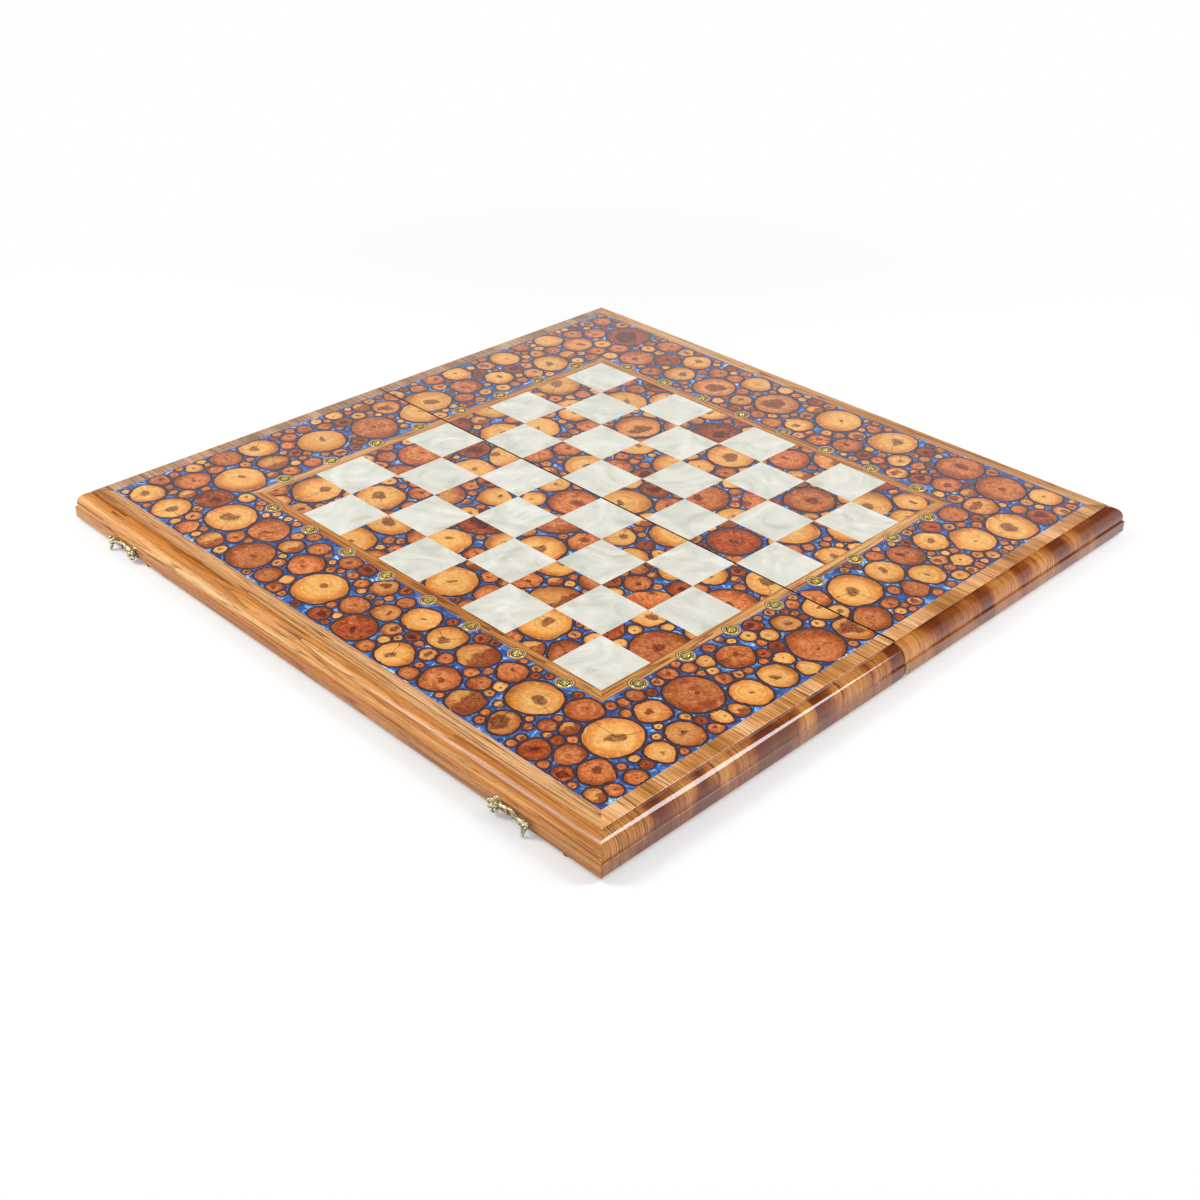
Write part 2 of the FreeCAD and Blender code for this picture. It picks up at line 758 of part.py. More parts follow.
def rosettes(label, turn):
    plates = []
    for side in (-1, 1):
        x = f"{side} * Dims.hook_x"
        plate = outward(f"{label}_{side + 1}_plate", "Dims.rosette_r", "Dims.rosette_t", x, OUTER)
        hole = outward(f"{label}_{side + 1}_hole", "Dims.pivot_r", "Dims.rosette_t", x, OUTER)
        plates.append(cut(f"{label}_{side + 1}", plate, hole))
    node(group(label, plates), label, turn)


def pivot_screws(label):
    """Screws that the hooks turn on, with domed heads."""
    screws = []
    for side in (-1, 1):
        name = f"{label}_{side + 1}"
        x = f"{side} * Dims.hook_x"
        length = f"{HEAD_Y} - {OUTER} + Dims.pivot_l"
        shank = outward(f"{name}_shank", "Dims.pivot_r", length, x, f"({OUTER} - Dims.pivot_l)")
        dome = doc.addObject("Part::Ellipsoid", f"{name}_dome")
        bind(dome, Radius1="Dims.dome_h", Radius2="Dims.dome_r", Radius3="Dims.dome_r", Angle1="0")
        aim(dome, (1, 0, 0), 90)
        place(dome, x, f"-{HEAD_Y}", HOOK_Z)
        screws.append(fuse(name, [shank, dome]))
    node(group(label, screws), label)


def hook(label, side):
    """Hook that points outward at rest: eye, arm, jaw open at the bottom, arm and ball."""
    pivot = f"{side} * Dims.hook_x"
    jaw = f"{side} * (Dims.hook_x + {HOOK_REACH})"
    tip = f"{side} * (Dims.hook_x + Dims.hook_l)"
    jaw_outer = f"({JAW_R} + Dims.jaw_wall)"
    start = pivot if side > 0 else tip
    eye = outward(f"{label}_eye", "Dims.eye_r", "Dims.hook_t", pivot, EYE_Y)
    arm = box(f"{label}_arm", "Dims.hook_l", "Dims.hook_t", "Dims.arm_w", start,
              f"-{EYE_Y} - Dims.hook_t", f"{HOOK_Z} - Dims.arm_w / 2")
    ring = outward(f"{label}_ring", jaw_outer, "Dims.hook_t", jaw, EYE_Y)
    ball = doc.addObject("Part::Sphere", f"{label}_ball")
    bind(ball, Radius="Dims.ball_r")
    aim(ball, (0, 0, 1), 90 - 90 * side)
    place(ball, tip, f"-({OUTER} + Dims.ball_clear + Dims.ball_r)", HOOK_Z)
    bore = outward(f"{label}_bore", "Dims.pivot_r + Dims.running_fit", "Dims.hook_t", pivot, EYE_Y)
    seat = outward(f"{label}_seat", JAW_R, "Dims.hook_t", jaw, EYE_Y)
    mouth_x = f"{jaw} - {JAW_R} - {max(side, 0)} * Dims.mouth_ease"
    mouth = box(f"{label}_mouth", f"2 * {JAW_R} + Dims.mouth_ease", "Dims.hook_t", jaw_outer, mouth_x,
                f"-{EYE_Y} - Dims.hook_t", f"{HOOK_Z} - {jaw_outer}")
    solid = fuse(f"{label}_blank", [eye, arm, ring, ball])
    node(cut(label, solid, fuse(f"{label}_cuts", [bore, seat, mouth])), label)


def catch_posts(label, turn):
    """Headed posts that the hooks' jaws close on."""
    posts = []
    for side in (-1, 1):
        name = f"{label}_{side + 1}"
        x = f"{side} * Dims.hook_x"
        stud = outward(f"{name}_stud", "Dims.pivot_r", "Dims.pivot_l + Dims.rosette_t", x,
                       f"({OUTER} - Dims.pivot_l)")
        face = f"({OUTER} + Dims.rosette_t)"
        neck_l = "(Dims.hook_t + 2 * Dims.hook_gap + Dims.post_fit)"
        neck = outward(f"{name}_neck", "Dims.post_r", neck_l, x, face)
        head = outward(f"{name}_head", "Dims.post_head_r", "Dims.post_head_t", x, f"({face} + {neck_l})")
        posts.append(fuse(name, [stud, neck, head]))
    node(group(label, posts), label, turn)


def half(prefix, long_side, left, right, seed, turn):
    """All that the two halves have alike. The far half is turned, so its left and right change over."""
    long_rail(f"{long_side}_rail", turn)
    end_rail(f"{prefix}_{left}_rail", -1, turn)
    end_rail(f"{prefix}_{right}_rail", 1, turn)
    fold_rail(f"{prefix}_fold_rail", turn)
    panel(f"{prefix}_panel", turn)
    cast_border(f"{prefix}_border_resin", f"{prefix}_border_slices", seed, turn)
    dark_squares(f"{prefix}_dark_squares", f"{prefix}_square_slices", seed + 1, turn)
    light_squares(f"{prefix}_light_squares", turn)
    strip(f"{long_side}_strip", 0, turn)
    strip(f"{prefix}_{left}_strip", -1, turn)
    strip(f"{prefix}_{right}_strip", 1, turn)
    coins(f"{prefix}_coins", turn)
    lining(f"{prefix}_lining", turn)
    point_inlays(f"{prefix}_light_points", True, turn)
    point_inlays(f"{prefix}_dark_points", False, turn)
    hinge_leaves(f"{prefix}_hinge_leaves", prefix == "near", turn)
    hinge_screws(f"{prefix}_hinge_screws", turn)
    feet(f"{prefix}_feet", turn)


half("near", "front", "left", "right", 11, 0)
half("far", "back", "right", "left", 23, 180)
hinge_pins("hinge_pins")
rosettes("hook_rosettes", 0)
pivot_screws("hook_screws")
hook("left_hook", -1)
hook("right_hook", 1)
rosettes("catch_rosettes", 180)
catch_posts("catch_posts", 180)
doc.recompute()

for item in doc.Objects:
    if "Invalid" in item.State or "Error" in item.State:
        raise RuntimeError(f"{item.Label} failed to recompute")
for item in NODES:
    if item.Shape.isNull() or not item.Shape.isValid() or not item.Shape.Solids:
        raise RuntimeError(f"{item.Label} has no valid solid")

os.makedirs("parts", exist_ok=True)
for item in NODES:
    item.Shape.exportStep(f"parts/{item.Label}.step")
    print(item.Label, len(item.Shape.Solids), round(item.Shape.Volume, 1))
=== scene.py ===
# Folding chess and backgammon board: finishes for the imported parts, and finer slices, coins and hooks,
# with a camera at the photograph's angle in a pale studio.
import json
import math
import random

import bmesh
import bpy
import numpy as np
from mathutils import Matrix, Vector
from mathutils.bvhtree import BVHTree


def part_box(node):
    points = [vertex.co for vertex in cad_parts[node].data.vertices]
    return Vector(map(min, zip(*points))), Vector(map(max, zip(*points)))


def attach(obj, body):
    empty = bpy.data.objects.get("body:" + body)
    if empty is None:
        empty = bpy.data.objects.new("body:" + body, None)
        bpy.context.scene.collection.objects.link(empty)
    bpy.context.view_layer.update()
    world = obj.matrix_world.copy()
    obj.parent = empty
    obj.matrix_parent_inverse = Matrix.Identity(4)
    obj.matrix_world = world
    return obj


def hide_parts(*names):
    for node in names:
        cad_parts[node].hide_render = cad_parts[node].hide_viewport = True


MM = 0.001

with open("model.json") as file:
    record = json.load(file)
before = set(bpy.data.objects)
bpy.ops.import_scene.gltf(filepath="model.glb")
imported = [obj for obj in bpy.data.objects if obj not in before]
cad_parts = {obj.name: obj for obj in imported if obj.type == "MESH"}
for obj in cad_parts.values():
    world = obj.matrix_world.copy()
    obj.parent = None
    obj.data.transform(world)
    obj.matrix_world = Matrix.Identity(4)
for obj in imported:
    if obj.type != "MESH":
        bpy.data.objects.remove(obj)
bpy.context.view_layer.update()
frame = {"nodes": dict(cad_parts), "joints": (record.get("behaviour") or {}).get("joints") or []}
NODES = frame["nodes"]
HALVES = {"near": ("near_half", "front"), "far": ("far_half", "back")}

# Places read from the frame
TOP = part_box("near_light_squares")[1].z
CAST_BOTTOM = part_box("near_light_squares")[0].z
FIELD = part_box("near_light_squares")[1].x
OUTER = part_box("near_right_rail")[1].x
FOLD = -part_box("near_border_resin")[1].y
SQUARE = FIELD / 4

# Top of the rails' upright face, and sizes of the strip with its coins and bosses
FACE_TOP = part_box("near_right_rail")[0].z + 9.5 * MM
STRIP_WIDTH = 9.5 * MM
COIN_LINE = FIELD + 10.9 * MM
COIN_RADIUS = 5.35 * MM
BOSS_RADIUS = COIN_RADIUS + 1.6 * MM


# Colours and node graphs

# Painted shade in the fold seam: a dark colour close to the fold, down to about two millimetres below the
# top.
FOLD_SEAM_SHADE = "1c0f0a"
SEAM_SHADE_ACROSS = (FOLD + 0.05 * MM, FOLD + 0.4 * MM)
SEAM_SHADE_DOWN = (TOP - 2.2 * MM, TOP - 1.2 * MM)


def tint(code):
    """Linear colour of an sRGB hex code."""
    parts = [int(code[index:index + 2], 16) / 255 for index in (0, 2, 4)]
    light = [part / 12.92 if part <= 0.04045 else ((part + 0.055) / 1.055) ** 2.4 for part in parts]
    return (*light, 1.0)


def grey(level):
    return (level, level, level, 1.0)


class Graph:
    """Nodes of one tree. A source is a socket to link, or a value to set in place."""

    def __init__(self, tree):
        self.tree = tree

    def node(self, kind, inputs, **properties):
        node = self.tree.nodes.new(kind)
        for name, setting in properties.items():
            setattr(node, name, setting)
        for key, source in inputs.items():
            self.feed(node.inputs[key], source)
        return node

    def feed(self, socket, source):
        if isinstance(source, bpy.types.NodeSocket):
            self.tree.links.new(source, socket)
        else:
            socket.default_value = source

    def spot(self):
        return self.node("ShaderNodeTexCoord", {}).outputs["Object"]

    def height(self):
        return self.split(self.spot())[2]

    def stretched(self, scale, shift=(0, 0, 0)):
        inputs = {"Vector": self.spot(), "Scale": scale, "Location": shift}
        return self.node("ShaderNodeMapping", inputs).outputs[0]

    def noise(self, vector, scale=1.0, detail=3.0, roughness=0.5, distortion=0.0, output="Fac"):
        inputs = {"Vector": vector, "Scale": scale, "Detail": detail, "Roughness": roughness,
                  "Distortion": distortion}
        return self.node("ShaderNodeTexNoise", inputs).outputs[output]

    def attribute(self, name, output="Fac"):
        return self.node("ShaderNodeAttribute", {}, attribute_name=name).outputs[output]

    def split(self, vector):
        return self.node("ShaderNodeSeparateXYZ", {"Vector": vector}).outputs

    def join(self, x, y, z):
        return self.node("ShaderNodeCombineXYZ", {0: x, 1: y, 2: z}).outputs[0]

    def calc(self, operation, first, second=0.0):
        return self.node("ShaderNodeMath", {0: first, 1: second}, operation=operation).outputs[0]

    def add(self, first, second):
        return self.calc("ADD", first, second)

    def less(self, first, second):
        return self.calc("SUBTRACT", first, second)

    def times(self, first, second):
        return self.calc("MULTIPLY", first, second)

    def absolute(self, source):
        return self.calc("ABSOLUTE", source)

    def distance(self, x, y):
        return self.calc("SQRT", self.add(self.times(x, x), self.times(y, y)))

    def vector(self, operation, first, second=(0.0, 0.0, 0.0), output=0):
        inputs = {0: first, 1: second}
        return self.node("ShaderNodeVectorMath", inputs, operation=operation).outputs[output]

    def wrap(self, source, width):
        """Source wrapped to half a width either side of zero."""
        inputs = {0: source, 1: width / 2, 2: -width / 2}
        return self.node("ShaderNodeMath", inputs, operation="WRAP").outputs[0]

    def span(self, source, low, high, start=0.0, stop=1.0):
        """Source from low to high, as a smooth change from start to stop."""
        inputs = {"Value": source, "From Min": low, "From Max": high, "To Min": start, "To Max": stop}
        return self.node("ShaderNodeMapRange", inputs, interpolation_type="SMOOTHSTEP").outputs[0]

    def ramp(self, factor, stops, colour=tint):
        node = self.node("ShaderNodeValToRGB", {"Fac": factor})
        elements = node.color_ramp.elements
        for element, (position, shade) in ((elements[0], stops[0]), (elements[1], stops[-1])):
            element.position = position
            element.color = colour(shade)
        for position, shade in stops[1:-1]:
            elements.new(position).color = colour(shade)
        return node.outputs["Color"]

    def mix(self, factor, first, second, blend="MIX"):
        inputs = {0: factor, 6: first, 7: second}
        return self.node("ShaderNodeMix", inputs, data_type="RGBA", blend_type=blend).outputs[2]

    def bump(self, height, depth):
        inputs = {"Height": height, "Distance": depth, "Strength": 1.0}
        return self.node("ShaderNodeBump", inputs).outputs["Normal"]


class Paint(Graph):
    """A material on the principled shader."""

    def __init__(self, name, **settings):
        self.material = bpy.data.materials.new(name)
        self.material.use_nodes = True
        super().__init__(self.material.node_tree)
        self.shader = self.tree.nodes["Principled BSDF"]
        for socket, setting in settings.items():
            self.shader.inputs[socket.replace("_", " ")].default_value = setting

    def fold_seam_shade(self, colour):
        """Colour darkened along the fold, on the top of each cut face: painted shade in the seam between the
        halves.
        """
        away = self.absolute(self.split(self.spot())[1])
        near = self.span(away, *SEAM_SHADE_ACROSS, 0.9, 0.0)
        high = self.span(self.height(), *SEAM_SHADE_DOWN)
        return self.mix(self.times(near, high), colour, tint(FOLD_SEAM_SHADE))

    def done(self, colour, roughness=None, normal=None):
        self.feed(self.shader.inputs["Base Color"], colour)
        if roughness is not None:
            self.feed(self.shader.inputs["Roughness"], roughness)
        if normal is not None:
            self.feed(self.shader.inputs["Normal"], normal)
        return self.material


LACQUER = {"Coat_Weight": 0.8, "Coat_Roughness": 0.05, "Specular_IOR_Level": 0.15}
GLOSS = {"Coat_Weight": 1.0, "Coat_Roughness": 0.06, "Specular_IOR_Level": 0.05}
RUBBED = {"Coat_Weight": 0.35, "Coat_Roughness": 0.2, "Specular_IOR_Level": 0.1}
SATIN = {"Coat_Weight": 0.15, "Coat_Roughness": 0.3, "Specular_IOR_Level": 0.4}


# Wood with its grain along one axis, or across a rail and down over its moulding

ALONG_X = (0,)
ACROSS_RAIL = (0, 2)
GROWTH_LINES = 13.0
GRAIN_RELIEF = 0.012 * MM
PLY = 1.4 * MM
FLAT_EDGE = (TOP - 0.6 * MM, TOP - 0.3 * MM)
FACE_EDGE = (FACE_TOP - 0.3 * MM, FACE_TOP + 0.3 * MM)
STRIP_EDGE = (STRIP_WIDTH / 2 - 1.3 * MM, STRIP_WIDTH / 2 - 0.5 * MM)
LONG_FACE = "935528"
END_FACE = "7c4f40"
PORE = "3a2010"
STRIP_DARK = "6a3410"
BOSS_PALE = "dcae74"
BOSS_LINE_AND_SEAT_SHADE = "4a2812"
FRONT_STOPS = [(0.32, "763a0a"), (0.44, "c87e38"), (0.54, "e6a660"), (0.68, "fcd49c")]
BACK_STOPS = [(0.32, "80502c"), (0.44, "b57e48"), (0.54, "cd9a64"), (0.68, "dfb686")]
LONG_FLAT_STOPS = [(0.32, "844a1a"), (0.44, "c88e54"), (0.54, "e2ae78"), (0.68, "f8d0a2")]
END_STOPS = [(0.26, "6a2c08"), (0.42, "8e4a14"), (0.56, "b06a28"), (0.74, "cc8a42")]
RIGHT_FLAT_STOPS = [(0.28, "7a4614"), (0.42, "c88846"), (0.55, "ecae72"), (0.70, "ffd6a2")]
# Painted shade on the left side: the left rails' flats darker and greyer than the right ones.
LEFT_FLAT_SHADED_STOPS = [(0.28, "6c4222"), (0.42, "a87850"), (0.55, "c49872"), (0.70, "e0bc98")]
STRIP_STOPS = [(0.32, "6a2c04"), (0.44, "ba6c24"), (0.56, "e2a45e"), (0.70, "facf9a")]
WALNUT_STOPS = [(0.30, "3c2213"), (0.45, "5f3a20"), (0.58, "7d5030"), (0.72, "946640")]


def wood_grain(paint, axes, stops, seed, blotch=0.0):
    """Colour, roughness and normal of growth lines, fine lines and pores along the axes, with blotches."""
    shift = (seed * 1.7, seed * 2.3, seed * 0.9)

    def grain(along, across, *settings):
        scale = [along if axis in axes else across for axis in range(3)]
        return paint.noise(paint.stretched(scale, shift), 1.0, *settings)

    bands = grain(2.6, 75, 2.0, 0.5, 0.25)
    lines = grain(6, 520, 4.0, 0.65, 0.4)
    pores = grain(70, 1700, 1.0)
    growth = paint.calc("FRACT", paint.times(bands, GROWTH_LINES))
    tone = paint.add(paint.times(bands, 0.5), paint.times(lines, 0.5))
    if blotch:
        blots = paint.span(grain(14, 24, 2.5, 0.5, 0.6), 0.34, 0.66)
        tone = paint.add(paint.times(tone, 1 - blotch), paint.times(blots, blotch))
    dark = tint(stops[0][1])
    late = paint.times(paint.span(growth, 0.55, 0.97), paint.span(lines, 0.38, 0.58, 0.2, 0.9))
    colour = paint.mix(late, paint.ramp(tone, stops), dark)
    colour = paint.mix(paint.span(lines, 0.53, 0.64, 0.0, 0.75), colour, dark)
    ticks = paint.span(pores, 0.60, 0.70, 0.0, 0.45)
    colour = paint.mix(ticks, colour, tint(PORE))
    normal = paint.bump(paint.less(lines, paint.times(ticks, 0.5)), GRAIN_RELIEF)
    return colour, paint.span(lines, 0.3, 0.7, 0.24, 0.36), normal


def inside_wood(name, stops, seed, blotch=0.0):
    """Sawn wood along X with a satin finish."""
    paint = Paint(name, **SATIN)
    return paint.done(*wood_grain(paint, ALONG_X, stops, seed, blotch))


def rail_zones(paint, colour, flat_colour, face_code):
    """Rail colour, with another on the flat at the top, and dulled toward a code below the moulding."""
    height = paint.height()
    colour = paint.mix(paint.span(height, *FLAT_EDGE), colour, flat_colour)
    return paint.mix(paint.span(height, *FACE_EDGE, 0.5, 0.0), colour, tint(face_code))


def long_rail_wood(name, stops, seed):
    """Rail wood along X: pale on the flat, stronger on the moulding, duller on the upright face."""
    paint = Paint(name, **RUBBED)
    colour, rough, normal = wood_grain(paint, ALONG_X, stops, seed)
    pale = wood_grain(paint, ALONG_X, LONG_FLAT_STOPS, seed)[0]
    return paint.done(rail_zones(paint, colour, pale, LONG_FACE), rough, normal)


def end_rail_wood(name, flat_stops, seed):
    """Figured wood with its grain across the rail: pale and even on the flat, blotched on the moulding."""
    paint = Paint(name, **GLOSS)
    colour, rough, normal = wood_grain(paint, ACROSS_RAIL, END_STOPS, seed, 0.55)
    pale = wood_grain(paint, ACROSS_RAIL, flat_stops, seed + 2, 0.2)[0]
    return paint.done(paint.fold_seam_shade(rail_zones(paint, colour, pale, END_FACE)), rough, normal)


def strip_wood(name, axis):
    """Strip wood along an axis, dark at its edges. A boss round a coin is paler, between a dark line outside
    and painted shade inside, where the coin sits down in the strip.
    """
    paint = Paint(name, **LACQUER)
    colour, rough, normal = wood_grain(paint, (axis,), STRIP_STOPS, 13 + axis)
    spot = paint.split(paint.spot())
    along = paint.wrap(paint.add(spot[axis], SQUARE / 2), SQUARE)
    aside = paint.less(paint.absolute(spot[1 - axis]), COIN_LINE)
    middle = paint.absolute(paint.add(aside, COIN_LINE - FIELD - STRIP_WIDTH / 2))
    colour = paint.mix(paint.span(middle, *STRIP_EDGE, 0.0, 0.5), colour, tint(STRIP_DARK))
    distance = paint.distance(along, aside)
    boss = paint.span(distance, BOSS_RADIUS, BOSS_RADIUS + 0.15 * MM, 0.75, 0.0)
    colour = paint.mix(boss, colour, tint(BOSS_PALE))
    # A dark line round the boss, and painted shade where the coin sits down in the strip.
    edge = paint.absolute(paint.less(distance, BOSS_RADIUS + 0.1 * MM))
    seat_shade = paint.absolute(paint.less(distance, COIN_RADIUS))
    line = paint.calc("MAXIMUM", paint.span(edge, 0.2 * MM, 0.5 * MM, 0.8, 0.0),
                      paint.span(seat_shade, 0.15 * MM, 0.35 * MM, 0.9, 0.0))
    colour = paint.mix(line, colour, tint(BOSS_LINE_AND_SEAT_SHADE))
    return paint.done(paint.fold_seam_shade(colour), rough, normal)


def plywood():
    paint = Paint("panel_plywood", **SATIN)
    plies = paint.calc("SINE", paint.times(paint.height(), math.tau / PLY))
    fibre = paint.noise(paint.stretched((6, 240, 240)))
    colour = paint.ramp(fibre, [(0.3, "b08a58"), (0.5, "cda878"), (0.7, "dfc294")])
    colour = paint.mix(paint.span(plies, 0.2, 0.6, 0.0, 0.45), colour, tint("8a6438"))
    return paint.done(colour, 0.55, paint.bump(fibre, 0.05 * MM))


# Resins

SWIRL_STOPS = [(0.34, "2c3664"), (0.46, "3b5698"), (0.54, "4874ba"), (0.60, "6ea4dc"), (0.645, "b6d8f2"),
               (0.71, "f4f9ff")]
PEARL_STOPS = [(0.30, "c4c4b6"), (0.45, "d6d5c8"), (0.58, "e1dfd3"), (0.72, "eeece2")]


def cobalt_swirl(paint):
    """Blue with pale pearl drawn out in it."""
    warp = paint.noise(paint.spot(), 60.0, 2.0, output="Color")
    place = paint.vector("ADD", paint.spot(), paint.vector("MULTIPLY", warp, (0.03, 0.03, 0.03)))
    colour = paint.ramp(paint.noise(place, 115.0, 5.0, 0.62, 1.0), SWIRL_STOPS)
    flakes = paint.noise(paint.spot(), 2600.0, 1.0)
    return paint.mix(paint.span(flakes, 0.6, 0.75, 0.0, 0.2), colour, tint("8fb6ea"))


def cobalt(name):
    paint = Paint(name, **LACQUER)
    return paint.done(paint.fold_seam_shade(cobalt_swirl(paint)), 0.16)


def pearl(name, by_square=False):
    """White pearl resin with faint grey-green swirls, which may differ from square to square."""
    paint = Paint(name, **LACQUER)
    place = paint.spot()
    if by_square:
        cell = paint.vector("FLOOR", paint.vector("DIVIDE", place, (SQUARE, SQUARE, 1.0)))
        jump = paint.node("ShaderNodeTexWhiteNoise", {"Vector": cell}).outputs["Color"]
        place = paint.vector("ADD", place, jump)
    swirl = paint.noise(place, 26.0, 5.0, 0.55, 2.0)
    flakes = paint.noise(paint.spot(), 2200.0, 1.0)
    glint = paint.span(flakes, 0.58, 0.72, 0.0, 0.3)
    colour = paint.mix(glint, paint.ramp(swirl, PEARL_STOPS), tint("fbfbf8"))
    return paint.done(paint.fold_seam_shade(colour), paint.span(swirl, 0.3, 0.7, 0.14, 0.24))


# Metal and rubber

def brass(name, light, dark, roughness, scratch=(900, 900, 900), relief=0.01 * MM, recess_shade_height=None, underside_shade=0.0):
    """Cast brass, dulled in patches. It may be darker below a height, as painted shade in recesses, and
    darker on faces turned down, as painted shade underneath.
    """
    paint = Paint(name, Metallic=0.8)
    tarnish = paint.noise(paint.spot(), 420.0, 4.0, 0.6)
    marks = paint.noise(paint.stretched(scratch), 1.0, 2.0)
    colour = paint.mix(paint.span(tarnish, 0.38, 0.68), tint(light), tint(dark))
    if underside_shade:
        # Painted shade underneath: faces turned down are darkened toward dark brown.
        facing = paint.split(paint.node("ShaderNodeTexCoord", {}).outputs["Normal"])[2]
        colour = paint.mix(paint.span(facing, -0.5, 0.35, underside_shade, 0.0), colour, tint("2c2210"))
    if recess_shade_height:
        # Painted shade in recesses: colour darkened below the given height.
        recess_shade = paint.span(paint.height(), recess_shade_height - 0.12 * MM, recess_shade_height + 0.08 * MM, 0.75, 0.0)
        colour = paint.mix(recess_shade, colour, tint("4a2e0c"))
    dull = paint.span(tarnish, 0.35, 0.7, roughness * 0.7, roughness * 1.5)
    return paint.done(colour, paint.add(dull, paint.times(marks, 0.06)), paint.bump(marks, relief))


def rubber():
    paint = Paint("foot_rubber")
    grit = paint.noise(paint.spot(), 1800.0)
    colour = paint.mix(grit, tint("101010"), tint("2b2b2a"))
    return paint.done(colour, paint.span(grit, 0.3, 0.7, 0.6, 0.85), paint.bump(grit, 0.08 * MM))


# Branch slices: rings round a pith, heartwood, cracks, and bark at the rim

SLICE_KINDS = {
    "honey": {"body": "f2b766", "rim": "e08736", "deep": "d2853b", "pale": "fad79e", "heart": "7c3f26",
              "heart_r": 0.24, "stain": 0.2, "shade": (0.92, 1.06), "share": 0.25},
    "amber": {"body": "de854c", "rim": "be5f2e", "deep": "a24b20", "pale": "f2af70", "heart": "7c2f1a",
              "heart_r": 0.2, "stain": 0.65, "shade": (0.82, 1.1), "share": 0.37},
    "hearted": {"body": "e8a15c", "rim": "d07738", "deep": "c06f32", "pale": "f4c184", "heart": "70291b",
                "heart_r": 0.5, "stain": 0.4, "shade": (0.86, 1.08), "share": 0.16},
    "russet": {"body": "b8552a", "rim": "a04722", "deep": "762b18", "pale": "e08d4c", "heart": "4a1916",
               "heart_r": 0.42, "stain": 0.7, "shade": (0.82, 1.15), "share": 0.15},
    "halved": {"body": "eaa75c", "rim": "c87334", "deep": "c87d38", "pale": "f4c384", "heart": "8a371e",
               "heart_r": 0.0, "stain": 0.35, "shade": (0.86, 1.08), "share": 0.07},
}
BARK_SLOT = len(SLICE_KINDS)
BARK_STOPS = [(0.0, "b8743e"), (0.15, "7e4222"), (0.4, "4a2a20"), (0.7, "3a282a"), (1.0, "423842")]
RING_PITCH = 1.3 * MM
CRACK_TURNS = (0.0, 1.9)
CRACKED_SIZES = (9 * MM, 11 * MM)
CRACK_EDGE = (0.1 * MM, 0.35 * MM)


class SlicePaint(Paint):
    """End grain of one kind. Places are in radii from the pith, and each slice has its own tone and seed."""

    def __init__(self, kind):
        super().__init__(f"slice_{kind}", **LACQUER)
        self.look = SLICE_KINDS[kind]
        self.local = self.attribute("pith", "Vector")
        self.tone = self.attribute("tone")
        self.size = self.attribute("size")
        self.x, self.y, self.seed = self.split(self.local)
        self.radius = self.distance(self.x, self.y)
        self.swing = self.calc("ARCTAN2", self.y, self.x)
        self.waves = self.less(self.noise(self.local, 1.6, 2.0), 0.5)
        self.bent = self.add(self.radius, self.times(self.waves, 0.35))

    def tinted(self, factor, colour, part):
        return self.mix(factor, colour, tint(self.look[part]))

    def rings(self):
        outward = self.times(self.bent, self.calc("DIVIDE", self.size, RING_PITCH))
        return self.noise(self.join(outward, self.times(self.waves, 1.5), self.seed), 1.0, 2.0, 0.6)

    def rays(self):
        return self.noise(self.join(self.times(self.swing, 11.0), self.times(self.radius, 2.0), self.seed))

    def heart(self):
        """Where the heartwood is: an uneven patch round the pith, or all of one side."""
        share = self.look["heart_r"]
        if share == 0:
            return self.span(self.add(self.x, self.times(self.waves, 1.6)), -0.1, 0.1)
        push = 0.5 + 1.2 * share
        warp = self.vector("SUBTRACT", self.noise(self.local, 1.3, 2.0, output="Color"), (0.5, 0.5, 0.5))
        place = self.vector("ADD", self.local, self.vector("MULTIPLY", warp, (push, push, 0.0)))
        flat = self.vector("MULTIPLY", place, (1.0, 1.0, 0.0))
        away = self.vector("LENGTH", flat, output="Value")
        reach = self.span(self.tone, 0.0, 1.0, share * 0.4, share * 1.3)
        return self.span(self.calc("DIVIDE", away, reach), 0.8, 1.15, 1.0, 0.0)

    def crack(self, turn):
        """A thin line out of the pith, on half of the larger slices."""
        facing = self.add(self.less(self.swing, self.seed), self.times(self.waves, 0.5))
        facing = self.add(facing, turn)
        aside = self.times(self.times(self.calc("SINE", facing), self.radius), self.size)
        thin = self.span(self.absolute(aside), *CRACK_EDGE, 0.85, 0.0)
        ahead = self.span(self.calc("COSINE", facing), 0.0, 0.1)
        split = self.times(self.span(self.tone, 0.50, 0.52), self.span(self.size, *CRACKED_SIZES))
        return self.times(self.times(thin, ahead), split)


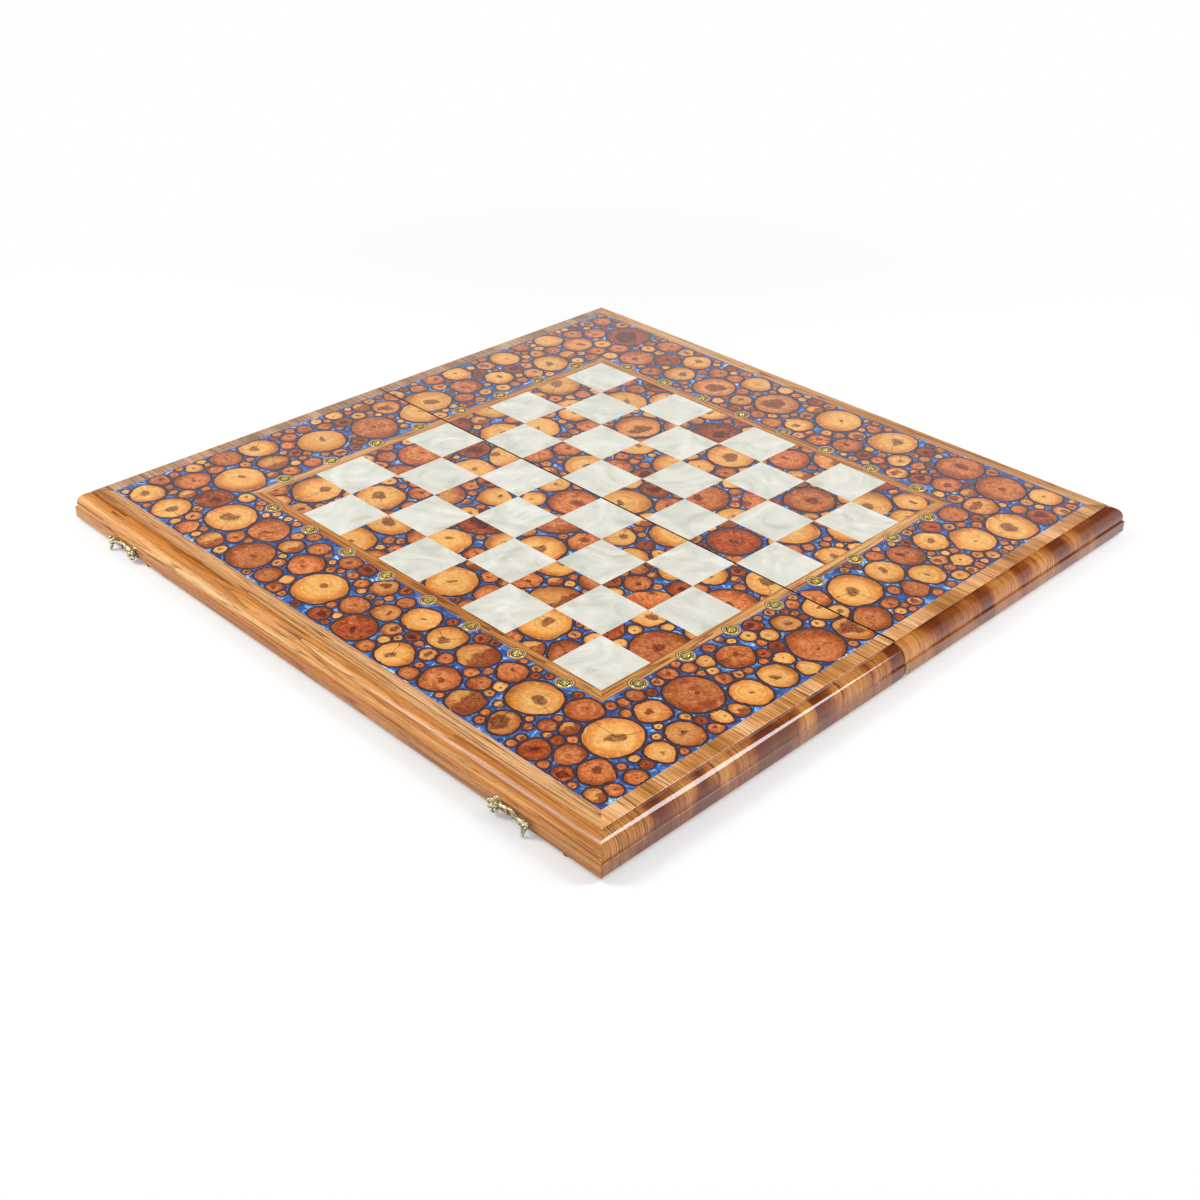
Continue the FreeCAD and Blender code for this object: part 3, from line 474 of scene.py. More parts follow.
def slice_wood(kind):
    """End grain: body to rim colour, stains, mottling, uneven rings, rays, a heart and a few cracks."""
    paint = SlicePaint(kind)
    look = paint.look
    colour = paint.tinted(paint.span(paint.bent, 0.5, 0.92), tint(look["body"]), "rim")
    colour = paint.mix(paint.span(paint.bent, 0.82, 1.06, 0.0, 0.6), colour, tint("5c2c12"))
    stains = paint.noise(paint.spot(), 150.0, 4.0, 0.6, 1.2)
    colour = paint.tinted(paint.span(stains, 0.48, 0.66, 0.0, look["stain"]), colour, "heart")
    colour = paint.tinted(paint.span(stains, 0.30, 0.44, 0.6, 0.0), colour, "pale")
    mottle = paint.noise(paint.spot(), 420.0, 4.0, 0.65, 0.8)
    colour = paint.tinted(paint.span(mottle, 0.32, 0.50, 0.6, 0.0), colour, "deep")
    colour = paint.tinted(paint.span(mottle, 0.54, 0.70, 0.0, 0.4), colour, "pale")
    rings = paint.rings()
    colour = paint.tinted(paint.span(rings, 0.50, 0.64, 0.0, 0.6), colour, "deep")
    colour = paint.tinted(paint.span(paint.rays(), 0.5, 0.72, 0.0, 0.45), colour, "deep")
    heart = paint.times(paint.heart(), paint.span(mottle, 0.35, 0.65, 0.95, 0.65))
    colour = paint.tinted(heart, colour, "heart")
    shade = paint.span(paint.calc("FRACT", paint.times(paint.tone, 7.0)), 0.0, 1.0, *look["shade"])
    shade = paint.node("ShaderNodeCombineColor", {0: shade, 1: shade, 2: shade}).outputs[0]
    colour = paint.mix(1.0, colour, shade, "MULTIPLY")
    for turn in CRACK_TURNS:
        colour = paint.mix(paint.crack(turn), colour, tint("3a1c10"))
    return paint.done(paint.fold_seam_shade(colour), paint.span(rings, 0.3, 0.7, 0.18, 0.26))


def bark():
    """Bark in section, red-brown inside and purple outside, then resin that clears away from it."""
    paint = Paint("slice_bark", **LACQUER)
    flecks = paint.noise(paint.spot(), 1100.0, 4.0, 0.65)
    ragged = paint.add(paint.attribute("rimness"), paint.times(paint.less(flecks, 0.5), 0.7))
    colour = paint.ramp(ragged, BARK_STOPS)
    colour = paint.mix(paint.span(ragged, 1.05, 1.5), colour, tint("3a4268"))
    colour = paint.mix(paint.span(ragged, 1.4, 2.0), colour, cobalt_swirl(paint))
    return paint.done(paint.fold_seam_shade(colour), 0.2)


# Meshes of the slices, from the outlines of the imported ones

SLICE_SEED = 5
SLICE_POINTS = 48
FEWEST_RIM_POINTS = 6
LARGEST_RADIUS = 24 * MM
LARGE_RADIUS = 14 * MM
SHORTEST_CUT = 0.3 * MM
CUT_SLANT = 0.002 * MM
SMOOTHING = 28
DRAW_IN = 0.5
LET_OUT = -0.52
SLICE_PROUD = 0.04 * MM
HALO_STEP = 0.15 * MM
HALO_STEPS = 24
HALO_FADE = 1.3 * MM
WIDEST_GAP = 2.4 * MM
RESIN_SEARCH = 1.2 * MM
BARK_OUTSIDE = 0.45 * MM
BARK_WIDTHS = (1.0 * MM, 1.7 * MM)
BARK_FULL_SIZE = 18 * MM
BARK_ROUGHNESS = 0.25 * MM
WOBBLE_TURNS = (5, 9, 14)
PITH_DRIFT = 0.2


def top_loops(mesh):
    """Outlines of a cast node's flat tops, each as points in order."""
    def key(index):
        spot = mesh.vertices[index].co
        return round(spot.x, 6), round(spot.y, 6)

    onward = {}
    seen = set()
    for face in mesh.polygons:
        if face.normal.z < 0.9 or abs(face.center.z - TOP) > 0.2 * MM:
            continue
        corners = [key(index) for index in face.vertices]
        for start, stop in zip(corners, corners[1:] + corners[:1]):
            seen.add((start, stop))
    for start, stop in seen:
        if (stop, start) not in seen:
            onward[start] = stop
    loops = []
    while onward:
        start, spot = onward.popitem()
        loop = [start]
        while spot != start:
            loop.append(spot)
            spot = onward.pop(spot)
        loops.append([Vector(point) for point in loop])
    return sorted(loops, key=lambda loop: (round(loop[0].x, 5), round(loop[0].y, 5)))


def is_cut(start, stop):
    """A straight stretch along X or Y is where a saw cut the slice, and has no bark."""
    run = stop - start
    return run.length > SHORTEST_CUT and min(abs(run.x), abs(run.y)) < CUT_SLANT


def find_pith(points):
    """Middle and radius of the circle nearest to the points of a rim."""
    spots = np.array([(point.x, point.y) for point in points])
    middle = spots.mean(axis=0)
    shifted = spots - middle
    matrix = np.column_stack([2 * shifted, np.ones(len(spots))])
    fit = np.linalg.lstsq(matrix, (shifted ** 2).sum(axis=1), rcond=None)[0]
    radius = math.sqrt(max(fit[2] + fit[0] ** 2 + fit[1] ** 2, 0))
    return Vector(middle + fit[:2]), radius


def resample(loop, cuts, step):
    """Points along the rim at an even step, and the ends of the cuts, with a mark on each cut stretch."""
    points = []
    sawn = []
    for index, start in enumerate(loop):
        stop = loop[(index + 1) % len(loop)]
        pieces = 1 if cuts[index] else max(1, round((stop - start).length / step))
        for piece in range(pieces):
            points.append(start.lerp(stop, piece / pieces))
            sawn.append(cuts[index])
    return points, sawn


def loop_area(points):
    return abs(sum(start.cross(stop) for start, stop in zip(points, points[1:] + points[:1]))) / 2


def relax(points, sawn):
    """A rim made round by drawing its points toward their neighbours, without shrinking.

    The ends of saw cuts stay, so a sawn rim is drawn in and let out by turns. A whole rim is drawn in
    and grown back to its area.
    """
    count = len(points)
    held = [sawn[index] or sawn[index - 1] for index in range(count)]
    area = loop_area(points)
    for turn in range(SMOOTHING):
        pull = LET_OUT if any(held) and turn % 2 else DRAW_IN
        between = [(points[index - 1] + points[(index + 1) % count]) / 2 for index in range(count)]
        points = [point if stays else point.lerp(aim, pull)
                  for point, stays, aim in zip(points, held, between)]
    if any(held):
        return points
    middle = sum(points, Vector((0, 0))) / count
    growth = math.sqrt(area / loop_area(points))
    return [middle + (point - middle) * growth for point in points]


def cut_distance(spot, inward, points, sawn):
    """How far the nearest saw cut is from a rim point, straight in."""
    nearest = math.inf
    for index, start in enumerate(points):
        along = points[(index + 1) % len(points)] - start
        slant = inward.cross(along)
        if sawn[index] and slant:
            distance = (start - spot).cross(along) / slant
            if distance > 0:
                nearest = min(nearest, distance)
    return nearest


def without_repeats(verts):
    return [vert for place, vert in enumerate(verts) if vert not in verts[:place]]


class SliceMesh:
    """Wood slices of one cast, gathered in one mesh. Each has bark, and a halo of dark resin round that."""

    def __init__(self, seed, resin):
        self.rng = random.Random(seed)
        self.resin = BVHTree.FromPolygons([vert.co for vert in resin.vertices],
                                          [face.vertices for face in resin.polygons])
        self.mesh = bmesh.new()
        self.pith = self.mesh.verts.layers.float_vector.new("pith")
        self.tone = self.mesh.verts.layers.float.new("tone")
        self.size = self.mesh.verts.layers.float.new("size")
        self.rimness = self.mesh.verts.layers.float.new("rimness")

    def vertex(self, spot, z, rimness, middle, radius, tone, seed):
        vert = self.mesh.verts.new((spot.x, spot.y, z))
        vert[self.pith] = ((spot.x - middle.x) / radius, (spot.y - middle.y) / radius, seed)
        vert[self.tone] = tone
        vert[self.size] = radius
        vert[self.rimness] = rimness
        return vert

    def add(self, loop):
        count = len(loop)
        cuts = [is_cut(loop[index], loop[(index + 1) % count]) for index in range(count)]
        rim = [loop[index] for index in range(count) if not (cuts[index] and cuts[index - 1])]
        middle, radius = find_pith(rim)
        if len(rim) < FEWEST_RIM_POINTS or radius > LARGEST_RADIUS:
            middle = sum(loop, Vector((0, 0))) / count
            radius = max((point - middle).length for point in loop)
        points, sawn = resample(loop, cuts, math.tau * radius / SLICE_POINTS)
        self.build(relax(points, sawn), sawn, middle, radius, self.pick_kind(radius))

    def pick_kind(self, radius):
        """Large slices are mostly pale, small ones seldom are."""
        shares = [look["share"] for look in SLICE_KINDS.values()]
        shares[0] *= 4.0 if radius > LARGE_RADIUS else 0.7
        return self.rng.choices(range(len(shares)), shares)[0]

    def halo(self, spot, outward):
        """Width of dark resin outside a rim: over any gap, and half-way across the resin beyond."""
        down = Vector((0, 0, -1))
        start = None
        clear = 0.0
        for step in range(1, HALO_STEPS + 1):
            place = spot + outward * HALO_STEP * step
            found = self.resin.ray_cast(Vector((place.x, place.y, TOP + MM)), down, RESIN_SEARCH)[0]
            if found:
                start = start if start is not None else step
                clear = (step - start + 1) * HALO_STEP
            elif start is not None or step * HALO_STEP > WIDEST_GAP:
                break
        return ((start or 1) - 0.5) * HALO_STEP + 0.5 * clear

    def build(self, points, sawn, middle, radius, kind):
        """Each rim point gives a place inside the bark, one outside it and one at the edge of the halo."""
        rng = self.rng
        width = rng.uniform(*BARK_WIDTHS) * min(1.0, 0.4 + radius / BARK_FULL_SIZE)
        phases = [rng.uniform(0, math.tau) for _ in WOBBLE_TURNS]
        places = []
        for index, point in enumerate(points):
            if sawn[index] and sawn[index - 1]:
                places.append((point, point, point))
            elif sawn[index] or sawn[index - 1]:
                along = points[(index + 1) % len(points)] if sawn[index] else points[index - 1]
                places.append(self.cut_end(point, along - point, middle, width))
            else:
                angle = math.atan2(point.y - middle.y, point.x - middle.x)
                waves = [math.sin(angle * turns + phase) for turns, phase in zip(WOBBLE_TURNS, phases)]
                wobble = sum(waves) / len(waves)
                depth = width * (1 + 0.45 * wobble) + rng.uniform(0, BARK_ROUGHNESS)
                outward = (point - middle).normalized()
                reach = self.halo(point, outward)
                rim = point + outward * min(BARK_OUTSIDE, reach * 0.4) * (1 + 0.3 * wobble)
                inset = min(depth, 0.7 * cut_distance(rim, -outward, points, sawn))
                places.append((rim - outward * inset, rim, point + outward * reach))
        drift = Vector((rng.uniform(-PITH_DRIFT, PITH_DRIFT), rng.uniform(-PITH_DRIFT, PITH_DRIFT)))
        look = (middle + drift * radius, radius, rng.random(), rng.uniform(0, 40))
        self.stack(points, sawn, places, look, kind)

    def cut_end(self, point, step, middle, width):
        """The places at the end of a saw cut, where the bark is cut through along the step."""
        outward = -step.normalized()
        inset = point + step * min(0.45, width / max(step.length, 0.1 * MM))
        aside = (middle - point) - outward * (middle - point).dot(outward)
        reach = self.halo(point + aside.normalized() * 0.05 * MM, outward)
        return inset, point, point + outward * reach

    def stack(self, points, sawn, places, look, kind):
        """Core, bark and halo rings on top, and a wall down from the halo to the foot."""
        core = [self.vertex(inner, TOP + SLICE_PROUD, 0.0, *look) for inner, _, _ in places]
        rim = [self.vertex(outer, TOP + SLICE_PROUD, 1.0, *look) for _, outer, _ in places]
        halo = [self.vertex(edge, TOP + SLICE_PROUD / 2, 1 + (edge - outer).length / HALO_FADE, *look)
                for _, outer, edge in places]
        foot = [self.vertex(spot, CAST_BOTTOM, 2.0, *look) for spot in points]
        for index in range(len(points)):
            if sawn[index] and sawn[index - 1]:
                for ring in (rim, halo):
                    self.mesh.verts.remove(ring[index])
                    ring[index] = core[index]
        self.face(core, kind)
        self.face(foot[::-1], kind)
        for index in range(len(points)):
            after = (index + 1) % len(points)
            if sawn[index]:
                self.face([halo[index], rim[index], core[index], core[after], rim[after], halo[after],
                           foot[after], foot[index]], kind)
                continue
            self.face([rim[index], rim[after], core[after], core[index]], BARK_SLOT)
            self.face([halo[index], halo[after], rim[after], rim[index]], BARK_SLOT)
            self.face([foot[index], foot[after], halo[after], halo[index]], BARK_SLOT)

    def face(self, verts, slot):
        corners = without_repeats(verts)
        if len(corners) < 3:
            return
        face = self.mesh.faces.new(corners)
        face.material_index = slot


def add_object(name, mesh, body, materials, stands_for):
    item = bpy.data.objects.new(name, mesh)
    bpy.context.scene.collection.objects.link(item)
    for material in materials:
        mesh.materials.append(material)
    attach(item, body)
    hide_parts(*stands_for)


def from_bmesh(name, source, smooth=True):
    mesh = bpy.data.meshes.new(name)
    bmesh.ops.recalc_face_normals(source, faces=source.faces)
    source.to_mesh(mesh)
    source.free()
    for face in mesh.polygons:
        face.use_smooth = smooth
    return mesh


def add_slices():
    materials = [slice_wood(kind) for kind in SLICE_KINDS] + [bark()]
    seed = SLICE_SEED
    for prefix, (body, _) in HALVES.items():
        for place, cast in (("border", "border_resin"), ("square", "dark_squares")):
            node = f"{prefix}_{place}_slices"
            slices = SliceMesh(seed, NODES[f"{prefix}_{cast}"].data)
            seed += 1
            for loop in top_loops(NODES[node].data):
                slices.add(loop)
            mesh = from_bmesh(f"{prefix}_{place}_wood", slices.mesh, smooth=False)
            add_object(mesh.name, mesh, body, materials, [node])


# Coins with a raised rim and coordinate

COIN_DEPTH = 1.6 * MM
COIN_PROFILE = [(0.0, -0.12), (0.40, -0.16), (0.66, -0.34), (0.76, -0.38), (0.82, -0.16), (0.88, -0.02),
                (0.93, -0.06), (0.97, -0.35), (1.0, -0.7)]
# Height below which the coins get painted shade in their recesses.
COIN_RECESS_SHADE_HEIGHT = TOP - 0.22 * MM
FILES = "ABCDEFGH"
MIDDLE_FILE = 3.5
GLYPH_HEIGHT = 7.8 * MM
GLYPH_THICKNESS = 0.28 * MM
GLYPH_BEVEL = 0.12 * MM
GLYPH_SINK = 0.1 * MM


def lathe(target, profile, middle, axis=Vector((0, 0, 1)), steps=48):
    """Closed turned form: profile gives radius and height along the axis, from the axis out and down."""
    turn = Vector((0, 0, 1)).rotation_difference(axis).to_matrix()
    rings = []
    for radius, height in profile:
        if radius < 1e-7:
            rings.append([target.verts.new(middle + turn @ Vector((0, 0, height)))])
            continue
        ring = []
        for step in range(steps):
            angle = math.tau * step / steps
            spot = Vector((radius * math.cos(angle), radius * math.sin(angle), height))
            ring.append(target.verts.new(middle + turn @ spot))
        rings.append(ring)
    for upper, lower in zip(rings, rings[1:]):
        for step in range(steps):
            after = (step + 1) % steps
            corners = [upper[step % len(upper)], lower[step % len(lower)], lower[after % len(lower)],
                       upper[after % len(upper)]]
            target.faces.new(without_repeats(corners))


def glyph_mesh(letter):
    """A raised character as a closed mesh, with its middle at the origin."""
    curve = bpy.data.curves.new(f"glyph_{letter}", "FONT")
    curve.body = letter
    curve.size = GLYPH_HEIGHT
    curve.align_x = "CENTER"
    curve.align_y = "CENTER"
    curve.extrude = GLYPH_THICKNESS
    curve.bevel_depth = GLYPH_BEVEL
    curve.bevel_resolution = 1
    curve.resolution_u = 4
    text = bpy.data.objects.new(curve.name, curve)
    bpy.context.scene.collection.objects.link(text)
    bpy.context.view_layer.update()
    mesh = bpy.data.meshes.new_from_object(text)
    bpy.data.objects.remove(text)
    return mesh


def coin_spots(near):
    """Middle and coordinate of each coin of a half: files on the long strip, ranks on the end strips."""
    row = -COIN_LINE if near else COIN_LINE
    spots = []
    for file, letter in enumerate(FILES):
        spots.append((Vector(((file - MIDDLE_FILE) * SQUARE, row, TOP)), letter))
    for column in (-COIN_LINE, COIN_LINE):
        for rank in range(4) if near else range(4, 8):
            spots.append((Vector((column, (rank - MIDDLE_FILE) * SQUARE, TOP)), str(rank + 1)))
    return spots


def add_coins(material):
    profile = [(radius * COIN_RADIUS, height * MM) for radius, height in COIN_PROFILE]
    profile += [(COIN_RADIUS, -COIN_DEPTH), (0.0, -COIN_DEPTH)]
    for prefix, (body, _) in HALVES.items():
        near = prefix == "near"
        source = bmesh.new()
        turned = Matrix.Rotation(0.0 if near else math.pi, 4, "Z")
        for middle, letter in coin_spots(near):
            lathe(source, profile, middle)
            glyph = glyph_mesh(letter)
            glyph.transform(Matrix.Translation(middle - Vector((0, 0, GLYPH_SINK))) @ turned)
            source.from_mesh(glyph)
        mesh = from_bmesh(f"{prefix}_coin_set", source)
        add_object(mesh.name, mesh, body, [material], [f"{prefix}_coins"])


# Hooks, their flower heads, and the catches

HOOK_AXIS = Vector((0, -1, 0))
HOOK_REACH = 13.1 * MM
HOOK_THICKNESS = 2.0 * MM
HOOK_GAP = 0.1 * MM
EYE_RADIUS = 2.35 * MM
EYE_WIRE = 0.95 * MM
JAW_RADIUS = 2.95 * MM
JAW_WIRE = 1.05 * MM
JAW_START = math.radians(218)
JAW_STOP = math.radians(-38)
JAW_POINTS = 22
COLLAR_RADII = (0.5 * MM, 1.75 * MM, 1.75 * MM)
BALL_ALONG = 28 * MM
BALL_DROP = 0.5 * MM
BALL_RADII = (2.6 * MM, 2.6 * MM, 2.5 * MM)
BUD_RISE = 1.9 * MM
BUD_RADII = (1.7 * MM, 1.9 * MM, 1.7 * MM)
TAIL_LEAN = 0.35
TAIL_RADII = (1.7 * MM, 1.1 * MM)
PETALS = 6
FLOWER_RADIUS = 5.6 * MM
FLOWER_HEIGHT = 2.8 * MM
SHANK_RADIUS = 1.2 * MM
SHANK_DEPTH = 4 * MM
PLATE_RADIUS = 4.5 * MM
PLATE_THICKNESS = 0.8 * MM
PLATE_PROFILE = [(0.0, 1.0), (0.62, 1.0), (0.7, 0.7), (0.9, 0.65), (1.0, 0.3), (1.0, 0.0), (0.0, 0.0)]
# Rows of millimetres: along and up from the pivot, radii, and radius and height of a post
ARM_PATH = [(2.2, 0.4), (4.6, 1.7), (7.6, 2.4), (10.4, 2.9), (13.1, 3.3), (15.8, 3.0), (18.2, 1.6),
            (20.6, 0.5), (23.0, 0.3), (25.6, 0.0)]
ARM_RADII = [1.3, 1.7, 1.45, 1.25, 1.4, 1.45, 1.3, 1.3, 1.6, 1.4]
COLLARS = (24.3, 25.5)
BUDS = (26.2, 29.8)
TAIL_DROPS = (1.5, 4.0, 6.3)
POST_PROFILE = [(0.0, 6.2), (1.5, 6.1), (2.3, 5.6), (2.6, 4.9), (2.5, 4.2), (2.1, 3.8), (1.5, 3.6),
                (1.5, 1.3), (1.9, 1.1), (1.9, -4.0), (0.0, -4.0)]


def tube(target, path, radii, sides=12):
    """Closed round bar through the points, thick as the radii say, with rounded ends."""
    rings = []
    for index, point in enumerate(path):
        ahead = path[min(index + 1, len(path) - 1)] - path[max(index - 1, 0)]
        across = ahead.cross(HOOK_AXIS).normalized()
        ring = []
        for step in range(sides):
            angle = math.tau * step / sides
            offset = (HOOK_AXIS * math.cos(angle) + across * math.sin(angle)) * radii[index]
            ring.append(target.verts.new(point + offset))
        rings.append(ring)
    for first, second in zip(rings, rings[1:]):
        for step in range(sides):
            after = (step + 1) % sides
            target.faces.new((first[step], first[after], second[after], second[step]))
    target.faces.new(rings[0][::-1])
    target.faces.new(rings[-1])
    for point, radius in ((path[0], radii[0]), (path[-1], radii[-1])):
        ball(target, point, (radius, radius, radius))


def ball(target, middle, radii):
    scale = Matrix.Diagonal((*radii, 1.0))
    bmesh.ops.create_uvsphere(target, u_segments=18, v_segments=12, radius=1.0,
                              matrix=Matrix.Translation(middle) @ scale)


def smooth_path(points, steps=5):
    """Points along a smooth curve through the given ones."""
    path = []
    for index in range(len(points) - 1):
        before = points[max(index - 1, 0)]
        start, stop = points[index], points[index + 1]
        after = points[min(index + 2, len(points) - 1)]
        for step in range(steps):
            t = step / steps
            even = 2 * start + (stop - before) * t
            bend = (2 * before - 5 * start + 4 * stop - after) * t ** 2
            twist = (3 * start - before - 3 * stop + after) * t ** 3
            path.append(0.5 * (even + bend + twist))
    return path + [points[-1]]


def flower(target, middle, radius, height):
    """Cast flower: petals round a bead, on a thin disc, standing out along the hook axis."""
    disc = [(0.0, 0.35 * height), (0.7 * radius, 0.3 * height), (0.8 * radius, 0.15 * height),
            (0.8 * radius, 0.0), (0.0, 0.0)]
    lathe(target, disc, middle, HOOK_AXIS, 32)
    for petal in range(PETALS):
        angle = math.tau * (petal + 0.5) / PETALS
        spot = middle + Vector((math.cos(angle), 0, math.sin(angle))) * 0.62 * radius
        size = 0.37 * radius
        ball(target, spot + HOOK_AXIS * 0.3 * height, (size, 0.5 * height, size))
    ball(target, middle + HOOK_AXIS * 0.5 * height, (0.34 * radius, 0.5 * height, 0.34 * radius))


def plate(target, middle):
    """Rosette plate with a stepped, rounded edge."""
    profile = [(across * PLATE_RADIUS, up * PLATE_THICKNESS) for across, up in PLATE_PROFILE]
    lathe(target, profile, middle, HOOK_AXIS, 40)


def add_hook(side, body, material):
    """Scrolled hook: eye on the pivot, curved arm, jaw open at the bottom, collar, ball, buds and tail."""
    pivot = Vector(next(joint["pos_m"] for joint in frame["joints"] if joint["child"] == body))
    middle_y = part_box("hook_rosettes")[0].y - HOOK_GAP - HOOK_THICKNESS / 2
    ball_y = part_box(body)[0].y + BALL_RADII[1]

    def at(along, up, y=middle_y):
        return Vector((pivot.x + side * along, y, pivot.z + up))

    source = bmesh.new()
    eye = [at(EYE_RADIUS * math.cos(turn), EYE_RADIUS * math.sin(turn))
           for turn in np.linspace(0, math.tau, 25)]
    tube(source, eye, [EYE_WIRE] * len(eye))
    arm = [at(along * MM, up * MM) for along, up in ARM_PATH]
    arm[-1].y = ball_y
    arm = smooth_path(arm)
    widths = np.interp(np.linspace(0, 1, len(arm)), np.linspace(0, 1, len(ARM_RADII)), ARM_RADII)
    tube(source, arm, [width * MM for width in widths])
    jaw = [at(HOOK_REACH + JAW_RADIUS * math.cos(turn), JAW_RADIUS * math.sin(turn))
           for turn in np.linspace(JAW_START, JAW_STOP, JAW_POINTS)]
    swell = [math.sin(math.pi * step / (JAW_POINTS - 1)) for step in range(JAW_POINTS)]
    tube(source, jaw, [JAW_WIRE * (0.75 + 0.25 * rise) for rise in swell])
    for along in COLLARS:
        ball(source, at(along * MM, 0, ball_y), COLLAR_RADII)
    ball(source, at(BALL_ALONG, -BALL_DROP, ball_y), BALL_RADII)
    for along in BUDS:
        ball(source, at(along * MM, BUD_RISE, ball_y), BUD_RADII)
    tail = smooth_path([at(BALL_ALONG, -drop * MM, ball_y - TAIL_LEAN * drop * MM) for drop in TAIL_DROPS])
    tube(source, tail, list(np.linspace(*TAIL_RADII, len(tail))))
    mesh = from_bmesh(f"{body}_casting", source)
    add_object(mesh.name, mesh, body, [material], [body])


def add_fixings(material):
    """Heads and plates of the hooks, and the catches, which are made at the same places and turned round."""
    pivots = [Vector(joint["pos_m"]) for joint in frame["joints"] if joint["child"].endswith("hook")]
    face = -OUTER
    head_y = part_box("hook_screws")[0].y + FLOWER_HEIGHT
    shank_length = face - head_y + SHANK_DEPTH
    shank = [(0.0, shank_length), (SHANK_RADIUS, shank_length), (SHANK_RADIUS, 0.0), (0.0, 0.0)]
    post = [(radius * MM, height * MM) for radius, height in POST_PROFILE]
    heads, plates, posts, seats = (bmesh.new() for _ in range(4))
    for pivot in pivots:
        spot = Vector((pivot.x, face, pivot.z))
        plate(plates, spot)
        lathe(heads, shank, Vector((pivot.x, face + SHANK_DEPTH, pivot.z)), HOOK_AXIS, 20)
        flower(heads, Vector((pivot.x, head_y, pivot.z)), FLOWER_RADIUS, FLOWER_HEIGHT)
        plate(seats, spot)
        lathe(posts, post, spot, HOOK_AXIS, 28)

    def place(name, source, body, node, turn=0.0):
        mesh = from_bmesh(name, source)
        mesh.transform(Matrix.Rotation(turn, 4, "Z"))
        add_object(name, mesh, body, [material], [node])

    place("pivot_flowers", heads, "near_half", "hook_screws")
    place("pivot_plates", plates, "near_half", "hook_rosettes")
    place("catch_knobs", posts, "far_half", "catch_posts", math.pi)
    place("catch_plates", seats, "far_half", "catch_rosettes", math.pi)
    add_hook(-1, "left_hook", material)
    add_hook(1, "right_hook", material)


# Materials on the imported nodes

def dress(node, material):
    item = NODES[node]
    item.data.materials.clear()
    item.data.materials.append(material)


def dress_frame():
    hinge = brass("hinge_brass", "d8b25e", "9c7634", 0.28, scratch=(40, 900, 900))
    resin = cobalt("blue_resin")
    strip_y = strip_wood("strip_wood_y", 1)
    strip_x = strip_wood("strip_wood_x", 0)
    shared = {
        "border_resin": resin,
        "dark_squares": resin,
        "light_squares": pearl("pearl_resin", by_square=True),
        "fold_rail": inside_wood("fold_rail_wood", STRIP_STOPS, 7),
        "panel": plywood(),
        "lining": inside_wood("lining_wood", WALNUT_STOPS, 31, 0.15),
        "light_points": pearl("light_point_resin"),
        "dark_points": cobalt("dark_point_resin"),
        "hinge_leaves": hinge,
        "hinge_screws": hinge,
        "feet": rubber(),
    }
    dress("hinge_pins", hinge)
    dress("front_rail", long_rail_wood("front_rail_wood", FRONT_STOPS, 3))
    dress("back_rail", long_rail_wood("back_rail_wood", BACK_STOPS, 5))
    for prefix, (_, long_side) in HALVES.items():
        for part, material in shared.items():
            dress(f"{prefix}_{part}", material)
        dress(f"{long_side}_strip", strip_x)
        # The left rails' flats carry painted shade.
        for hand, flat_stops in (("left", LEFT_FLAT_SHADED_STOPS), ("right", RIGHT_FLAT_STOPS)):
            seed = 21 + 4 * (hand == "left") + 9 * (prefix == "far")
            dress(f"{prefix}_{hand}_rail", end_rail_wood(f"{prefix}_{hand}_rail_wood", flat_stops, seed))
            dress(f"{prefix}_{hand}_strip", strip_y)


# Studio and camera

FRAME_PX = 1200
FOCAL_PX = 1591.776
MIDDLE_PX = 598.5
SENSOR = 36.0
AZIMUTH = math.radians(44.5069)
ELEVATION = math.radians(32.041)
ROLL = math.radians(1.0471)
DISTANCE = 24.3015 * SQUARE
TARGET = Vector((2.2692 * SQUARE, -2.3 * SQUARE, TOP))
SKY_LEVELS = [(0.26, 1.0), (0.38, 0.76), (0.46, 0.5), (0.52, 0.08), (0.72, 0.07), (0.92, 0.78)]
SKY_LEAN = -0.05
FLOOR_REACH = 12.0
FLOOR_FADE = (0.40, 0.95)
FLOOR_GLOW = (0.3, 1.0)
# Place and size in metres, and power in watts
SOFTBOXES = {
    "left_box": ((-0.75, -0.96, 1.13), (0.5, 0.65), 15.2),
    "right_box": ((0.96, 0.77, 1.13), (0.45, 0.8), 14.2),
}


def add_camera():
    back = Vector((math.sin(AZIMUTH) * math.cos(ELEVATION), -math.cos(AZIMUTH) * math.cos(ELEVATION),
                   math.sin(ELEVATION)))
    right = (-back).cross(Vector((0, 0, 1))).normalized()
    up = back.cross(right)
    turned_right = right * math.cos(ROLL) + up * math.sin(ROLL)
    turned_up = up * math.cos(ROLL) - right * math.sin(ROLL)
    lens = bpy.data.cameras.new("camera")
    lens.sensor_width = SENSOR
    lens.lens = SENSOR * FOCAL_PX / FRAME_PX
    lens.shift_y = (MIDDLE_PX - FRAME_PX / 2) / FRAME_PX
    camera = bpy.data.objects.new("camera", lens)
    bpy.context.scene.collection.objects.link(camera)
    turn = Matrix((turned_right, turned_up, back)).transposed().to_4x4()
    camera.matrix_world = Matrix.Translation(TARGET + back * DISTANCE) @ turn
    bpy.context.scene.camera = camera


def add_softbox(name, spot, size, power):
    lamp = bpy.data.lights.new(name, "AREA")
    lamp.shape = "RECTANGLE"
    lamp.size, lamp.size_y = size
    lamp.energy = power
    item = bpy.data.objects.new(name, lamp)
    bpy.context.scene.collection.objects.link(item)
    item.location = spot
    item.rotation_euler = (-Vector(spot)).to_track_quat("-Z", "Y").to_euler()


